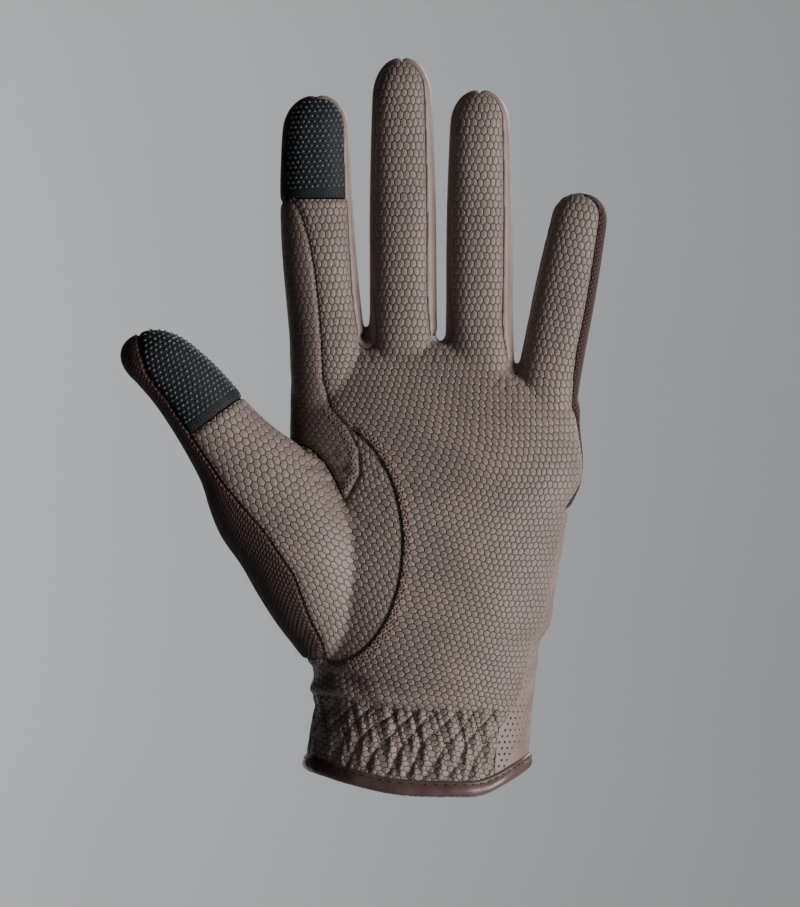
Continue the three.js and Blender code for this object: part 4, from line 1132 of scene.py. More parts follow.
def shape(node, panel):
    flat_of = LAID_FLAT.get(node, flat_hand)
    lay_flat(panel, flat_of)
    at = points_of(panel)
    height = turn_in(panel) + wrinkles(at)
    if node == "palm":
        flat = flat_hand(at)
        height += gathers(at, flat) + wrist_folds(at, flat)
    oval_edge = edge_points(panel, on_oval)
    if len(oval_edge) and node in OVAL_STEPS:
        step = OVAL_STEPS[node]
        height += step["high"] * hump(reach_from(panel, oval_edge), step["wide"])
    open_seams(panel)
    put_points(panel, points_of(panel) + normals_of(panel) * height[:, None])


for node, panel in panels.items():
    shape(node, panel)
    print(node, "is", round(float(np.ptp(points_of(panel)[:, 2])), 1), "mm tall")

# %% [markdown]
# The closing tab behind the wrist is a strap of the same leather with a round end. It follows the cuff, so
# it is parted off from a copy of the cuff and lifted off it.

# %% Closing tab
TAB_LEFT, TAB_RIGHT, TAB_MIDDLE, TAB_HALF = -35, 27, 31.4, 12
TAB_LIFT, TAB_THICKNESS, TAB_EDGE = 0.5, 1.6, 0.7


def off_tab(at):
    """Distance from the tab's outline, minus on the tab."""
    u, z = flat_back(at).T
    round_from = TAB_LEFT + TAB_HALF
    strap = np.maximum(np.abs(z - TAB_MIDDLE) - TAB_HALF, u - TAB_RIGHT)
    end = np.hypot(u - round_from, z - TAB_MIDDLE) - TAB_HALF
    return np.where(u < round_from, end, strap)


def make_tab():
    pick(panels["back_cuff"])
    bpy.ops.object.duplicate()
    cuff_copy = bpy.context.object
    tab = part_off(cuff_copy, "closing_tab_leather", off_tab)
    bpy.data.objects.remove(cuff_copy)
    tab = drop_loose(tab)
    height = TAB_LIFT + TAB_THICKNESS * (1 - 0.5 * hump(reach_from(tab, edge_points(tab)), TAB_EDGE))
    put_points(tab, points_of(tab) + normals_of(tab) * height[:, None])
    return tab


tab = make_tab()
print("closing tab", len(tab.data.polygons), "faces")

# %% [markdown]
# The cuff's edge on the little finger's side is punched, so that the strap over it can breathe. Holes could
# be painted, but light has to fall into them. The cuff is made finer there and the discs are cut out of it.

# %% Punched holes
HOLE, HOLE_ACROSS, HOLE_UP = 0.74, 1.95, 1.7
HOLES_LOW, HOLES_TOP, PATCH_TOP = 6.5, 78, 27


def hole_distance(at):
    """Distance from the nearest hole's rim, minus inside a hole."""
    u, z = flat_hand(at).T
    row = np.round(z / HOLE_UP)
    nearest = np.full(len(at), 1e9)
    for step in (-1, 0, 1):
        near_row = row + step
        near_column = np.round(u / HOLE_ACROSS - (near_row % 2) / 2) + (near_row % 2) / 2
        x, y = near_column * HOLE_ACROSS, near_row * HOLE_UP
        nearest = np.where(punched(x, y), np.minimum(nearest, np.hypot(u - x, z - y)), nearest)
    return nearest - HOLE / 2


def punched(u, z):
    """Where holes are: a patch beside the palm's edge, and a narrow strip up the side of the hand."""
    edge = np.interp(z, seam_on_side[:, 1], seam_on_side[:, 0])
    wide = np.where(z < PATCH_TOP, 21, 4.6)
    low = HOLES_LOW + 8 * ease((u - edge - 3) / 6)
    return (u > edge + 0.7) & (u < edge + wide) & (z > low) & (z < HOLES_TOP)


def side_line():
    """The palm's edge on the little finger's side: places across and up on the flat leather."""
    at = edge_points(panels["back_cuff"], lambda p: (p[:, 0] > 15) & (np.abs(past_palm(p)) < 1.5))
    flat = flat_hand(at)
    return flat[np.argsort(flat[:, 1])]


def punch(cuff):
    for _ in range(2):
        refine(cuff, hole_distance(middles_of(cuff)) < 0.9)
    waste = part_off(cuff, "punched_out", hole_distance)
    print("punched out", len(waste.data.polygons), "faces")
    bpy.data.objects.remove(waste)


seam_on_side = side_line()
punch(panels["back_cuff"])
print("cuff faces", len(panels["back_cuff"].data.polygons))

# %% [markdown]
# The hem is bound with a folded strip of smooth leather that wraps the edge of the palm and the cuff. A tube
# along the hem would be round. A torus is pressed into a flat, rounded band instead: going round the large
# way it follows the hem, going round the small way it follows the strip's own section.

# %% Binding
BINDING_LOW, BINDING_TOP, BINDING_THICKNESS = 0.2, 4.7, 1.05
BINDING_SQUARE = 3
LINE_UP, LINE_DEEP, LINE_WIDE = 3.6, 0.3, 0.4
CROWN_UP, CROWN_HIGH, CROWN_WIDE = 1.8, 0.2, 1.2
RIPPLE_HIGH = 0.09
TORUS, TORUS_THIN = 30, 4
CUFF_RADIUS = 31


def around_cuff(angle, z):
    """A point on the cuff and the way out of it, at an angle and a height."""
    left, right, front, back = body_at(z)
    wide, deep = (right - left) / 2, (front + back) / 2
    c, s = np.cos(angle), np.sin(angle)
    u = np.sign(c) * np.abs(c) ** (2 / HAND_SQUARE)
    v = np.sign(s) * np.abs(s) ** (2 / HAND_SQUARE)
    at = np.stack([(left + right) / 2 + wide * u, (back - front) / 2 + deep * v, z], 1)
    out = np.stack([u / wide, v / deep, np.zeros(len(u))], 1)
    return at, out / np.linalg.norm(out, axis=1)[:, None]


def on_hem_band(angle, out, up):
    """A place on the binding: out from the cuff and up from the hem."""
    z = np.zeros(len(angle)) + up
    for _ in range(4):
        at, way = around_cuff(angle, z)
        z = hem_height(at[:, 0]) + up
    return around_cuff(angle, z)[0] + way * np.reshape(out, (-1, 1))


def squared_turn(share):
    """A sine or cosine on the way to a rounded square."""
    return np.sign(share) * np.abs(share) ** (2 / BINDING_SQUARE)


def make_binding():
    bpy.ops.mesh.primitive_torus_add(
        major_segments=220, minor_segments=28, major_radius=TORUS * MM, minor_radius=TORUS_THIN * MM,
        location=(0, 0, 0))
    band = bpy.context.object
    band.name = "wrist_binding_leather"
    at = points_of(band)
    angle = np.arctan2(at[:, 1], at[:, 0])
    turn = np.arctan2(at[:, 2], np.hypot(at[:, 0], at[:, 1]) - TORUS)
    half = WALL / 2 + BINDING_THICKNESS
    middle, tall = (BINDING_LOW + BINDING_TOP) / 2, (BINDING_TOP - BINDING_LOW) / 2
    out = -WALL / 2 + half * squared_turn(np.cos(turn))
    up = middle + tall * squared_turn(np.sin(turn))
    out = out + CROWN_HIGH * hump(up - CROWN_UP, CROWN_WIDE) * (out > 0)
    out = out - LINE_DEEP * hump(up - LINE_UP, LINE_WIDE) * (out > 0)
    out = out + RIPPLE_HIGH * np.sin(9 * angle + 0.8 * up) * np.sin(23 * angle) * (out > 0)
    put_points(band, on_hem_band(angle, out, up))
    pick(band)
    bpy.ops.object.shade_smooth()
    lay_flat(band, lambda p: np.stack([np.arctan2(p[:, 1], p[:, 0]) * CUFF_RADIUS, p[:, 2]], 1))
    return band


binding = make_binding()
print("binding", round(BINDING_TOP - BINDING_LOW, 1), "mm high")

# %% [markdown]
# Stitches and touch dots sit on the leather wherever it has been moved to. To place them, each panel keeps a
# way back from its flat map to the shaped surface, and the rows along a seam are measured from its edge.

# %% Places on the shaped panels
def unit(v):
    return v / max(float(np.linalg.norm(v)), 1e-9)


def surface_of(obj):
    """Finds the nearest place on a panel, and the way out of it."""
    at = points_of(obj)
    obj.data.calc_loop_triangles()
    faces = [tuple(t.vertices) for t in obj.data.loop_triangles]
    tree = BVHTree.FromPolygons([tuple(p) for p in at], faces)
    ways = normals_of(obj)

    def nearest(p):
        place, _, face, _ = tree.find_nearest(p)
        corners = list(faces[face])
        return np.array(place), unit(ways[corners].mean(0))
    return nearest


def flat_map_of(obj):
    """Finds the place on a panel that a place on its flat map stands for, or nothing off the panel."""
    at, mesh = points_of(obj), obj.data
    mesh.calc_loop_triangles()
    grain = np.empty(len(mesh.loops) * 2)
    mesh.uv_layers["grain"].data.foreach_get("uv", grain)
    grain = grain.reshape(-1, 2)
    ways = normals_of(obj)
    corners = np.array([[*t.loops] for t in mesh.loop_triangles])
    faces = np.array([[*t.vertices] for t in mesh.loop_triangles])
    flat = np.c_[grain[corners].reshape(-1, 2), np.zeros(len(corners) * 3)]
    thirds = [(3 * k, 3 * k + 1, 3 * k + 2) for k in range(len(faces))]
    tree = BVHTree.FromPolygons([tuple(p) for p in flat], thirds)

    def place(u, v):
        near, _, face, gap = tree.find_nearest((u, v, 0))
        if face is None or gap > 0.05:
            return None
        a, b, c = flat[3 * face], flat[3 * face + 1], flat[3 * face + 2]
        area = np.cross(b - a, c - a)[2]
        if abs(area) < 1e-9:
            return None
        p = np.array(near)
        s = np.cross(p - a, c - a)[2] / area
        t = np.cross(b - a, p - a)[2] / area
        share = np.array([1 - s - t, s, t])
        return share @ at[faces[face]], unit(share @ ways[faces[face]])
    return place


surfaces = {node: surface_of(panel) for node, panel in panels.items()}
print("surfaces kept:", len(surfaces))

# %% [markdown]
# A row of stitches follows the edge of a panel. The edge is a chain of short steps of uneven length, so it
# is straightened a little and divided again into even steps, one for each stitch.

# %% Rows along an edge
RUN_AT_LEAST = 8


def edge_runs(obj, near):
    """The stretches of a panel's edge where a test holds, each a row of points in order."""
    at = points_of(obj)
    keep = near(at)
    mesh = bmesh.new()
    mesh.from_mesh(obj.data)
    links = {}
    for edge in mesh.edges:
        a, b = (v.index for v in edge.verts)
        if edge.is_boundary and keep[a] and keep[b]:
            links.setdefault(a, []).append(b)
            links.setdefault(b, []).append(a)
    mesh.free()
    ends = [k for k in links if len(links[k]) == 1]
    left, runs = set(links), []
    for start in [*ends, *links]:
        if start not in left:
            continue
        run = [start]
        left.discard(start)
        while ahead := [k for k in links[run[-1]] if k in left]:
            run.append(ahead[0])
            left.discard(ahead[0])
        if len(run) > RUN_AT_LEAST:
            runs.append(at[run])
    return runs


def evenly(line, pitch):
    """Points an even pitch apart along a row of points, a little straightened."""
    line = np.array(line, float)
    for _ in range(3):
        line[1:-1] = (line[:-2] + 2 * line[1:-1] + line[2:]) / 4
    far = np.r_[0, np.cumsum(np.linalg.norm(np.diff(line, axis=0), axis=1))]
    at = np.arange(pitch / 2, far[-1], pitch)
    return np.stack([np.interp(at, far, line[:, k]) for k in range(3)], 1)


hem_runs = edge_runs(panels["palm"], on_hem)
print("stretches of the palm's hem:", len(hem_runs))

# %% [markdown]
# A stitch is a short loop of thread that dips into the leather at both ends. One is modelled from a sphere,
# and each row is joined into one piece with copies of it, every copy turned along the seam and lying on it.

# %% A stitch and its copies
THREAD = 0.42
STITCH_SIDES, STITCH_RINGS = 8, 5


def make_bead(name, sides, rings, size):
    """A small rounded form: length, width and height in mm, on the origin."""
    bpy.ops.mesh.primitive_uv_sphere_add(segments=sides, ring_count=rings, radius=MM / 2, location=(0, 0, 0))
    bead = bpy.context.object
    bead.name = name
    bpy.ops.object.mode_set(mode="EDIT")
    bpy.ops.mesh.select_all(action="SELECT")
    bpy.ops.transform.resize(value=size)
    bpy.ops.object.mode_set(mode="OBJECT")
    return bead


def copies_of(bead, name, places):
    """One piece of many copies, each laid along one way with its top along another."""
    form = points_of(bead)
    faces = [tuple(p.vertices) for p in bead.data.polygons]
    count = len(form)
    corners, rings = [], []
    for k, (at, along, up, stretch) in enumerate(places):
        aside = unit(np.cross(up, along))
        along = unit(np.cross(aside, up))
        corners.append(at + form @ np.array([along * stretch, aside, up]))
        rings += [tuple(c + k * count for c in face) for face in faces]
    mesh = bpy.data.meshes.new(name)
    mesh.from_pydata([tuple(p) for p in np.concatenate(corners) * MM], [], rings)
    mesh.shade_smooth()
    made = bpy.data.objects.new(name, mesh)
    bpy.context.collection.objects.link(made)
    bpy.data.objects.remove(bead)
    return made


print("a stitch has", STITCH_SIDES * STITCH_RINGS, "faces")

# %% [markdown]
# Stitches stand beside a seam, because the needle goes through both edges where they are turned in. A fine
# seam is sewn with a zigzag, so every second stitch swings out and back, and lies a little aslant.

# %% Rows beside a seam
LIFT, PROBE, PROBE_ON = 0.07, 1.5, 0.7
OUTLINE_CLOSE = 1.0


def row_beside(node, near, inset, pitch, zigzag=0):
    """Stitch places along a stretch of a panel's edge, set in from it."""
    nearest, places = surfaces[node], []
    for run in edge_runs(panels[node], near):
        line = evenly(run, pitch)
        if len(line) < 3:
            continue
        ahead = np.gradient(line, axis=0)
        for k, (p, way) in enumerate(zip(line, ahead)):
            _, up = nearest(p)
            inward = unit(np.cross(up, way))
            if (nearest(p + inward * PROBE)[0] - p) @ inward < PROBE_ON:
                inward = -inward
            swing = zigzag * (1 if k % 2 else -1)
            on, up = nearest(p + inward * (inset + swing * 0.5))
            slant = unit(way) + inward * (swing * 1.2)
            places.append((on + up * LIFT, slant, up, 1))
    return places


def near_outline(line):
    return lambda at: (line_distance(at, line) < OUTLINE_CLOSE) & (at[:, 1] < 2)


PAD_EDGES = dict(
    index_touch_pad=lambda at: np.abs(at[:, 2] - PAD_Z) < ON_LINE,
    thumb_touch_pad=lambda at: np.abs(below_thumb_pad(at)) < ON_LINE,
)
FINE_PITCH, PAD_PITCH, KNIT_STITCH_PITCH, PANEL_PITCH = 1.05, 0.85, 1.5, 1.7


def thumb_seam_rows():
    places = []
    for inset, line in ((0.8, oval), (1.7, oval), (2.7, oval[:12])):
        places += row_beside("palm", near_outline(line), inset, FINE_PITCH, 0.42)
    places += row_beside("palm", near_outline(side_seam[-6:]), 1.0, FINE_PITCH, 0.4)
    for inset in (1.1, 2.2):
        places += row_beside("index_side_panel", near_outline(side_seam[-5:]), inset, FINE_PITCH, 0.5)
    return places


def side_panel_row():
    return row_beside("palm", near_outline(side_seam[:-4]), 0.75, PANEL_PITCH)


def thumb_knit_rows():
    places = row_beside("thumb_front", near_outline(thumb_seam), 0.7, KNIT_STITCH_PITCH)
    return places + row_beside("thumb_back_knit", near_outline(thumb_seam), 0.8, KNIT_STITCH_PITCH)


def touch_pad_rows():
    places = []
    for inset in (0.7, 1.7, 2.7):
        for node, near in PAD_EDGES.items():
            places += row_beside(node, near, inset, PAD_PITCH, 0.35)
    return places


print("fine stitches stand", FINE_PITCH, "mm apart")

# %% [markdown]
# The smocking's stitches lie in the valleys between the puffs, so their places come from the two waves that
# made the puffs. The binding's single row lies in the line that was pressed into the band for it.

# %% Stitches of the wrist
SMOCK_STEPS = (0.12, 0.37, 0.62, 0.87)
SMOCK_ROWS, SMOCK_COLUMNS = range(-1, 2), range(-8, 8)
SMOCK_ACROSS, SMOCK_UP, SMOCK_LIFT = 0.35, 0.6, 0.06
BINDING_PITCH, HEM_RADIUS = 2.3, 27


def unband(across, up):
    """The place on the flat leather of a place on the smocked band."""
    slanted = across + SLANT * (up - GATHER_MIDDLE) + LOW_SLANT * min(up - GATHER_LOW, 0)
    u = slanted
    for _ in range(6):
        u = slanted - wander(u)
    return u, up + GATHER_RISE * ease(-u / RISE_OVER)


def smocking_stitch(place_of, across, up, way):
    u, v = unband(across, up)
    if up > GATHER_TOP - 0.4 or u > GATHER_END + 2:
        return []
    ahead = unband(across + way * SMOCK_ACROSS, up + SMOCK_UP)
    here, there = (place_of(*undrawn(*spot)) for spot in ((u, v), ahead))
    if here is None or there is None:
        return []
    return [(here[0] + here[1] * SMOCK_LIFT, there[0] - here[0], here[1], 1)]


def smocking_rows():
    """Stitches along the crossing lines between the puffs."""
    place_of, places = flat_map_of(panels["palm"]), []
    for row in SMOCK_ROWS:
        for column in SMOCK_COLUMNS:
            for way in (-1, 1):
                for step in SMOCK_STEPS:
                    across = (column + (row % 2) / 2 + way * step / 2) * GATHER_PITCH
                    up = GATHER_MIDDLE + (row + step) * GATHER_TALL / 2
                    places += smocking_stitch(place_of, across, up, way)
    return places


def binding_row():
    angle = np.arange(0, 2 * math.pi, BINDING_PITCH / HEM_RADIUS)
    on = on_hem_band(angle, np.full(len(angle), BINDING_THICKNESS - LINE_DEEP + 0.05), LINE_UP)
    ahead = np.roll(on, -1, 0) - on
    _, out = around_cuff(angle, on[:, 2])
    return [(p, way, up, 1) for p, way, up in zip(on, ahead, out)]


print("stitches around the binding:", len(binding_row()))

# %% [markdown]
# Each kind of seam has its own stitch: long ones on the binding, short fine ones at the edge of the pads.
# All the stitches of a kind are one piece, which is lighter for the scene than hundreds of small ones.

# %% Sew the glove
STITCHES = dict(
    thumb_seam_stitches=(thumb_seam_rows, (0.95, THREAD, 0.42)),
    side_panel_stitches=(side_panel_row, (1.2, THREAD, 0.42)),
    thumb_knit_stitches=(thumb_knit_rows, (1, THREAD, 0.42)),
    touch_pad_stitches=(touch_pad_rows, (0.75, 0.3, 0.26)),
    smocking_stitches=(smocking_rows, (1.15, 0.36, 0.34)),
    binding_stitches=(binding_row, (1.5, 0.4, 0.34)),
)
threads = {}
for name, (rows_of, size) in STITCHES.items():
    bead = make_bead("stitch", STITCH_SIDES, STITCH_RINGS, size)
    threads[name] = copies_of(bead, name, rows_of())
    print(name, len(threads[name].data.polygons), "faces")

# %% [markdown]
# The touch pads are a rubbery cloth with rows of small glossy domes that wake a screen. They are real domes,
# because each one catches its own highlight. Rows lie half a step apart and stop short of the pad's seams.

# %% Touch dots
DOT_ACROSS, DOT_UP = 1.62, 1.42
DOT_SIDES, DOT_RINGS, DOT_SIZE = 10, 6, (1.05, 0.85, 0.66)
DOT_MARGIN, DOT_FROM_STITCHES = 0.85, 3.6
DOT_STRAY, DOT_TURN, DOT_SEED = 0.07, 0.12, 7


def dot_places(node, u_range, v_range):
    place_of, edge = flat_map_of(panels[node]), edge_points(panels[node])
    rng = np.random.default_rng(DOT_SEED)
    places = []
    for row, v in enumerate(np.arange(*v_range, DOT_UP)):
        for u in np.arange(*u_range, DOT_ACROSS) + (row % 2) * DOT_ACROSS / 2:
            spot = place_of(u + rng.normal(0, DOT_STRAY), v + rng.normal(0, DOT_STRAY))
            if spot is None or np.min(np.linalg.norm(edge - spot[0], axis=1)) < DOT_MARGIN:
                continue
            at, up = spot
            along = np.array([1, 0, 0.15]) if node == "index_touch_pad" else THUMB_ACROSS
            places.append((at, along + rng.normal(0, DOT_TURN, 3), up, rng.uniform(0.85, 1.15)))
    return places


def make_dots():
    index_low = PAD_Z + DOT_FROM_STITCHES
    thumb_low = THUMB_LENGTH - THUMB_PAD_LENGTH + DOT_FROM_STITCHES
    places = dot_places("index_touch_pad", (-45, -8), (index_low, index_low + INDEX_PAD_LENGTH))
    places += dot_places("thumb_touch_pad", (-18, 18), (thumb_low, thumb_low + THUMB_PAD_LENGTH))
    return copies_of(make_bead("dot", DOT_SIDES, DOT_RINGS, DOT_SIZE), "touch_dots", places)


dots = make_dots()
print("touch dots", len(dots.data.polygons) // (DOT_SIDES * DOT_RINGS))

# %% [markdown]
# Leather is 1 to 1.3 mm thick. The thickness goes inwards, so that the outside stays where it was shaped. A
# cut leaves a few points almost on each other, and they are merged first: the inner wall is made along the
# points' normals, and the normals of such crumbs point anywhere.

# %% Thickness
CRUMB = 0.08


def merge_crumbs(obj):
    """Merges the points that a cut left almost on each other."""
    pick(obj)
    bpy.ops.object.mode_set(mode="EDIT")
    bpy.ops.mesh.select_all(action="SELECT")
    bpy.ops.mesh.remove_doubles(threshold=CRUMB * MM)
    bpy.ops.mesh.dissolve_degenerate(threshold=CRUMB / 4 * MM)
    bpy.ops.object.mode_set(mode="OBJECT")


for piece in (*panels.values(), tab):
    merge_crumbs(piece)
    thick = TAB_THICKNESS if piece is tab else WALL
    apply_modifier(piece, "SOLIDIFY", thickness=thick * MM, offset=-1)
    bpy.ops.object.shade_smooth()
print("palm triangles", sum(len(p.vertices) - 2 for p in panels["palm"].data.polygons))

# %% [markdown]
# Each finish starts from what the real one is. Colours are written as the hex values seen on a screen and
# turned to linear ones by one function. Sizes of patterns are in millimetres, on the flat map of the panel.

# %% Helpers for finishes
MATH, VECTOR = "ShaderNodeMath", "ShaderNodeVectorMath"
NOISE, RANGE, MIX = "ShaderNodeTexNoise", "ShaderNodeMapRange", "ShaderNodeMix"
SOFT = dict(interpolation_type="SMOOTHSTEP")
COLOURS = dict(output=2, data_type="RGBA")


def linear(hex_colour):
    """An sRGB hex colour as a linear one."""
    parts = [int(hex_colour[k:k + 2], 16) / 255 for k in (1, 3, 5)]
    return (*[c / 12.92 if c <= 0.04045 else ((c + 0.055) / 1.055) ** 2.4 for c in parts], 1)


def add(tree, kind, inputs, output=0, **settings):
    """Adds a node with its settings, sets or links its inputs by place or by name, and gives one output."""
    made = tree.nodes.new(kind)
    for key, value in settings.items():
        setattr(made, key, value)
    for key, value in inputs.items() if isinstance(inputs, dict) else enumerate(inputs):
        if isinstance(value, bpy.types.NodeSocket):
            tree.links.new(value, made.inputs[key])
        else:
            made.inputs[key].default_value = value
    return made.outputs[output]


def start_material(name):
    made = bpy.data.materials.new(name)
    made.use_nodes = True
    return made, made.node_tree, made.node_tree.nodes["Principled BSDF"]


def finish_surface(tree, shader, colour, height, bump_mm, strength):
    tree.links.new(colour, shader.inputs["Base Color"])
    relief = {"Height": height, "Distance": bump_mm * MM, "Strength": strength}
    tree.links.new(add(tree, "ShaderNodeBump", relief, "Normal"), shader.inputs["Normal"])


print("the palm's light brown is", [round(c, 3) for c in linear("#87766f")], "in linear values")

# %% [markdown]
# The palm is synthetic leather embossed with six-sided cells 1.8 mm wide, in rows 1.6 mm apart. A Voronoi
# texture has no even cells, so the distance to a cell's border is worked out from two interleaved grids of
# middles: a point belongs to the nearer middle, and the border is half way to the next one.

# %% Six-sided cells
CELL_WIDE, CELL_ROW = 1.8, 1.56


def cell_border(tree, place):
    """Distance in mm from the border of a six-sided cell."""
    half = (CELL_WIDE / 2, CELL_ROW, 1)
    lower = tuple(-h for h in half)
    moved = add(tree, VECTOR, (place, (CELL_WIDE / 2, CELL_ROW, 0)), operation="ADD")
    far, aside = [], []
    for start in (place, moved):
        from_middle = add(tree, VECTOR, (start, half, lower), operation="WRAP")
        far.append(add(tree, VECTOR, (from_middle, from_middle), "Value", operation="DOT_PRODUCT"))
        across = add(tree, "ShaderNodeSeparateXYZ", (from_middle,), "X")
        aside.append(add(tree, MATH, (across,), operation="ABSOLUTE"))
    gap = add(tree, MATH, (far[0], far[1]), operation="SUBTRACT")
    gap = add(tree, MATH, (gap,), operation="ABSOLUTE")
    to_next_row = add(tree, MATH, (gap, 2 * math.hypot(CELL_WIDE / 2, CELL_ROW)), operation="DIVIDE")
    in_first = add(tree, MATH, (far[0], far[1]), operation="LESS_THAN")
    own = add(tree, MIX, {0: in_first, 2: aside[1], 3: aside[0]})
    to_side = add(tree, MATH, (CELL_WIDE / 2, own), operation="SUBTRACT")
    return add(tree, MATH, (to_next_row, to_side), operation="MINIMUM")


print("cells", CELL_WIDE, "mm wide in rows", CELL_ROW, "mm apart")

# %% [markdown]
# The roller that embosses such leather leaves thin grooves between soft raised cells. The colour darkens the
# grooves with painted shade and lightens the cells' rims with a painted highlight. Colour alone would look
# printed, so the same distance also raises the surface. A slow noise bends the rows a little, for soft
# leather never lies quite straight.

# %% Embossed leather
CELL_DRIFT, DRIFT_SCALE = 1.0, 0.3
GROOVE_WIDE, EMBOSS_MM = 0.26, 0.22


def embossed_leather(name, light, dark, relief=1.0):
    made, tree, shader = start_material(name)
    place = add(tree, "ShaderNodeUVMap", (), "UV", uv_map="grain")
    drift = add(tree, NOISE, {"Vector": place, "Scale": DRIFT_SCALE, "Detail": 1.0}, "Color")
    drift = add(tree, VECTOR, (drift, (0.5, 0.5, 0.5)), operation="SUBTRACT")
    drift = add(tree, VECTOR, (drift, (CELL_DRIFT, CELL_DRIFT, 0)), operation="MULTIPLY")
    border = cell_border(tree, add(tree, VECTOR, (place, drift), operation="ADD"))
    groove = add(tree, RANGE, (border, 0.0, GROOVE_WIDE), **SOFT)
    dome = add(tree, RANGE, (border, 0.05, 0.85), **SOFT)
    # Painted highlight: a light ring just inside each groove, where the edge of a dome catches the light
    rim_from = add(tree, RANGE, (border, 0.14, GROOVE_WIDE), **SOFT)
    rim_to = add(tree, RANGE, (border, 0.5, GROOVE_WIDE), **SOFT)
    rim = add(tree, MATH, (rim_from, rim_to), operation="MULTIPLY")
    rim_painted_highlight = add(tree, MATH, (rim, 0.25), operation="MULTIPLY")
    grain = add(tree, NOISE, {"Vector": place, "Scale": 5.5, "Detail": 3.0, "Roughness": 0.6})
    speck = add(tree, RANGE, (grain, 0.25, 0.8, 0.0, 0.3), **SOFT)
    cloud = add(tree, NOISE, {"Vector": place, "Scale": 0.05, "Detail": 2.0, "Roughness": 0.5})
    cloudy = add(tree, RANGE, (cloud, 0.3, 0.7), **SOFT)
    # Painted shade: the grooves are darkened where shade falls into them
    groove_painted_shade = add(tree, RANGE, (border, 0.22, 0.0, 0.0, 0.5), **SOFT)
    colour = add(tree, MIX, {0: cloudy, 6: linear(dark), 7: linear(light)}, **COLOURS)
    # Mixed in: random grain specks, the painted highlight on the rims and the painted shade in the grooves
    for share, tint in ((speck, "#463a35"), (rim_painted_highlight, "#a79a94"), (groove_painted_shade, "#2e241f")):
        colour = add(tree, MIX, {0: share, 6: colour, 7: linear(tint)}, **COLOURS)
    height = add(tree, MATH, (grain, 0.14, groove), operation="MULTIPLY_ADD")
    height = add(tree, MATH, (dome, 0.5, height), operation="MULTIPLY_ADD")
    shader.inputs["Roughness"].default_value = 0.56
    shader.inputs["Specular IOR Level"].default_value = 0.42
    shader.inputs["Sheen Weight"].default_value = 0.08
    finish_surface(tree, shader, colour, height, EMBOSS_MM * relief, 1.0)
    return made


# Embossed polyurethane leather: matt domes with a soft light on each, painted shade in the lines between
# them and a painted highlight on their rims
leather = embossed_leather("embossed_synthetic_leather", "#87766f", "#75655f")
# The same leather pulled flat along the finger: the cells are still seen, but hardly catch the light; its
# darker colours are painted shade for the side turned away from the light
side_leather_painted_shade = embossed_leather("faintly_embossed_leather_painted_shade", "#75655e", "#65554f", 0.45)
print("embossed", EMBOSS_MM, "mm deep:", leather.name, "and", side_leather_painted_shade.name)

# %% [markdown]
# The other leathers are smooth: fine pebbles a third of a millimetre across, a little shinier on the walls
# between the fingers where the leather is thin and pulled tight. The binding is a darker, polished one.

# %% Smooth leathers
def smooth_leather(name, light, dark, rough, pebble=0.35, relief=0.06):
    made, tree, shader = start_material(name)
    place = add(tree, "ShaderNodeUVMap", (), "UV", uv_map="grain")
    cells = {"Vector": place, "Scale": 1 / pebble}
    pebbles = add(tree, "ShaderNodeTexVoronoi", cells, "Distance", feature="F1")
    pores = add(tree, NOISE, {"Vector": place, "Scale": 2.2, "Detail": 4.0, "Roughness": 0.6})
    cloud = add(tree, NOISE, {"Vector": place, "Scale": 0.09, "Detail": 3.0, "Roughness": 0.5})
    cloudy = add(tree, RANGE, (cloud, 0.3, 0.7), **SOFT)
    dark_pores = add(tree, RANGE, (pores, 0.3, 0.75, 0.0, 0.3), **SOFT)
    colour = add(tree, MIX, {0: cloudy, 6: linear(dark), 7: linear(light)}, **COLOURS)
    colour = add(tree, MIX, {0: dark_pores, 6: colour, 7: linear("#2b211d")}, **COLOURS)
    height = add(tree, MATH, (pebbles, -0.8), operation="MULTIPLY")
    height = add(tree, MATH, (pores, 0.8, height), operation="MULTIPLY_ADD")
    shader.inputs["Roughness"].default_value = rough
    shader.inputs["Specular IOR Level"].default_value = 0.45
    finish_surface(tree, shader, colour, height, relief, 0.8)
    return made


# Thin leather pulled tight: an even surface with a faint soft shine
wall_leather = smooth_leather("thin_wall_leather", "#8a7770", "#7c6963", 0.5)
# Unstretched leather: matt, with pebbles that are just seen
cuff_leather = smooth_leather("punched_cuff_leather", "#87766f", "#77675f", 0.58, 0.35, 0.09)
# Polished dark leather: a narrow clear highlight along the folded edge
binding_leather = smooth_leather("polished_binding_leather", "#5f4a46", "#493835", 0.36, 0.4, 0.05)
print("smooth leathers:", wall_leather.name, cuff_leather.name, binding_leather.name)

# %% [markdown]
# The back is a stretch knit: rounded rust-brown stitches in slanting rows about a millimetre apart on a dark
# ground. Threads that fine could be modelled, but they would be millions of faces, so they are drawn by two
# crossing waves of bumps.

# %% Knit
KNIT_PITCH, KNIT_SLANT, KNIT_NARROW = 1.25, 0.55, 0.8


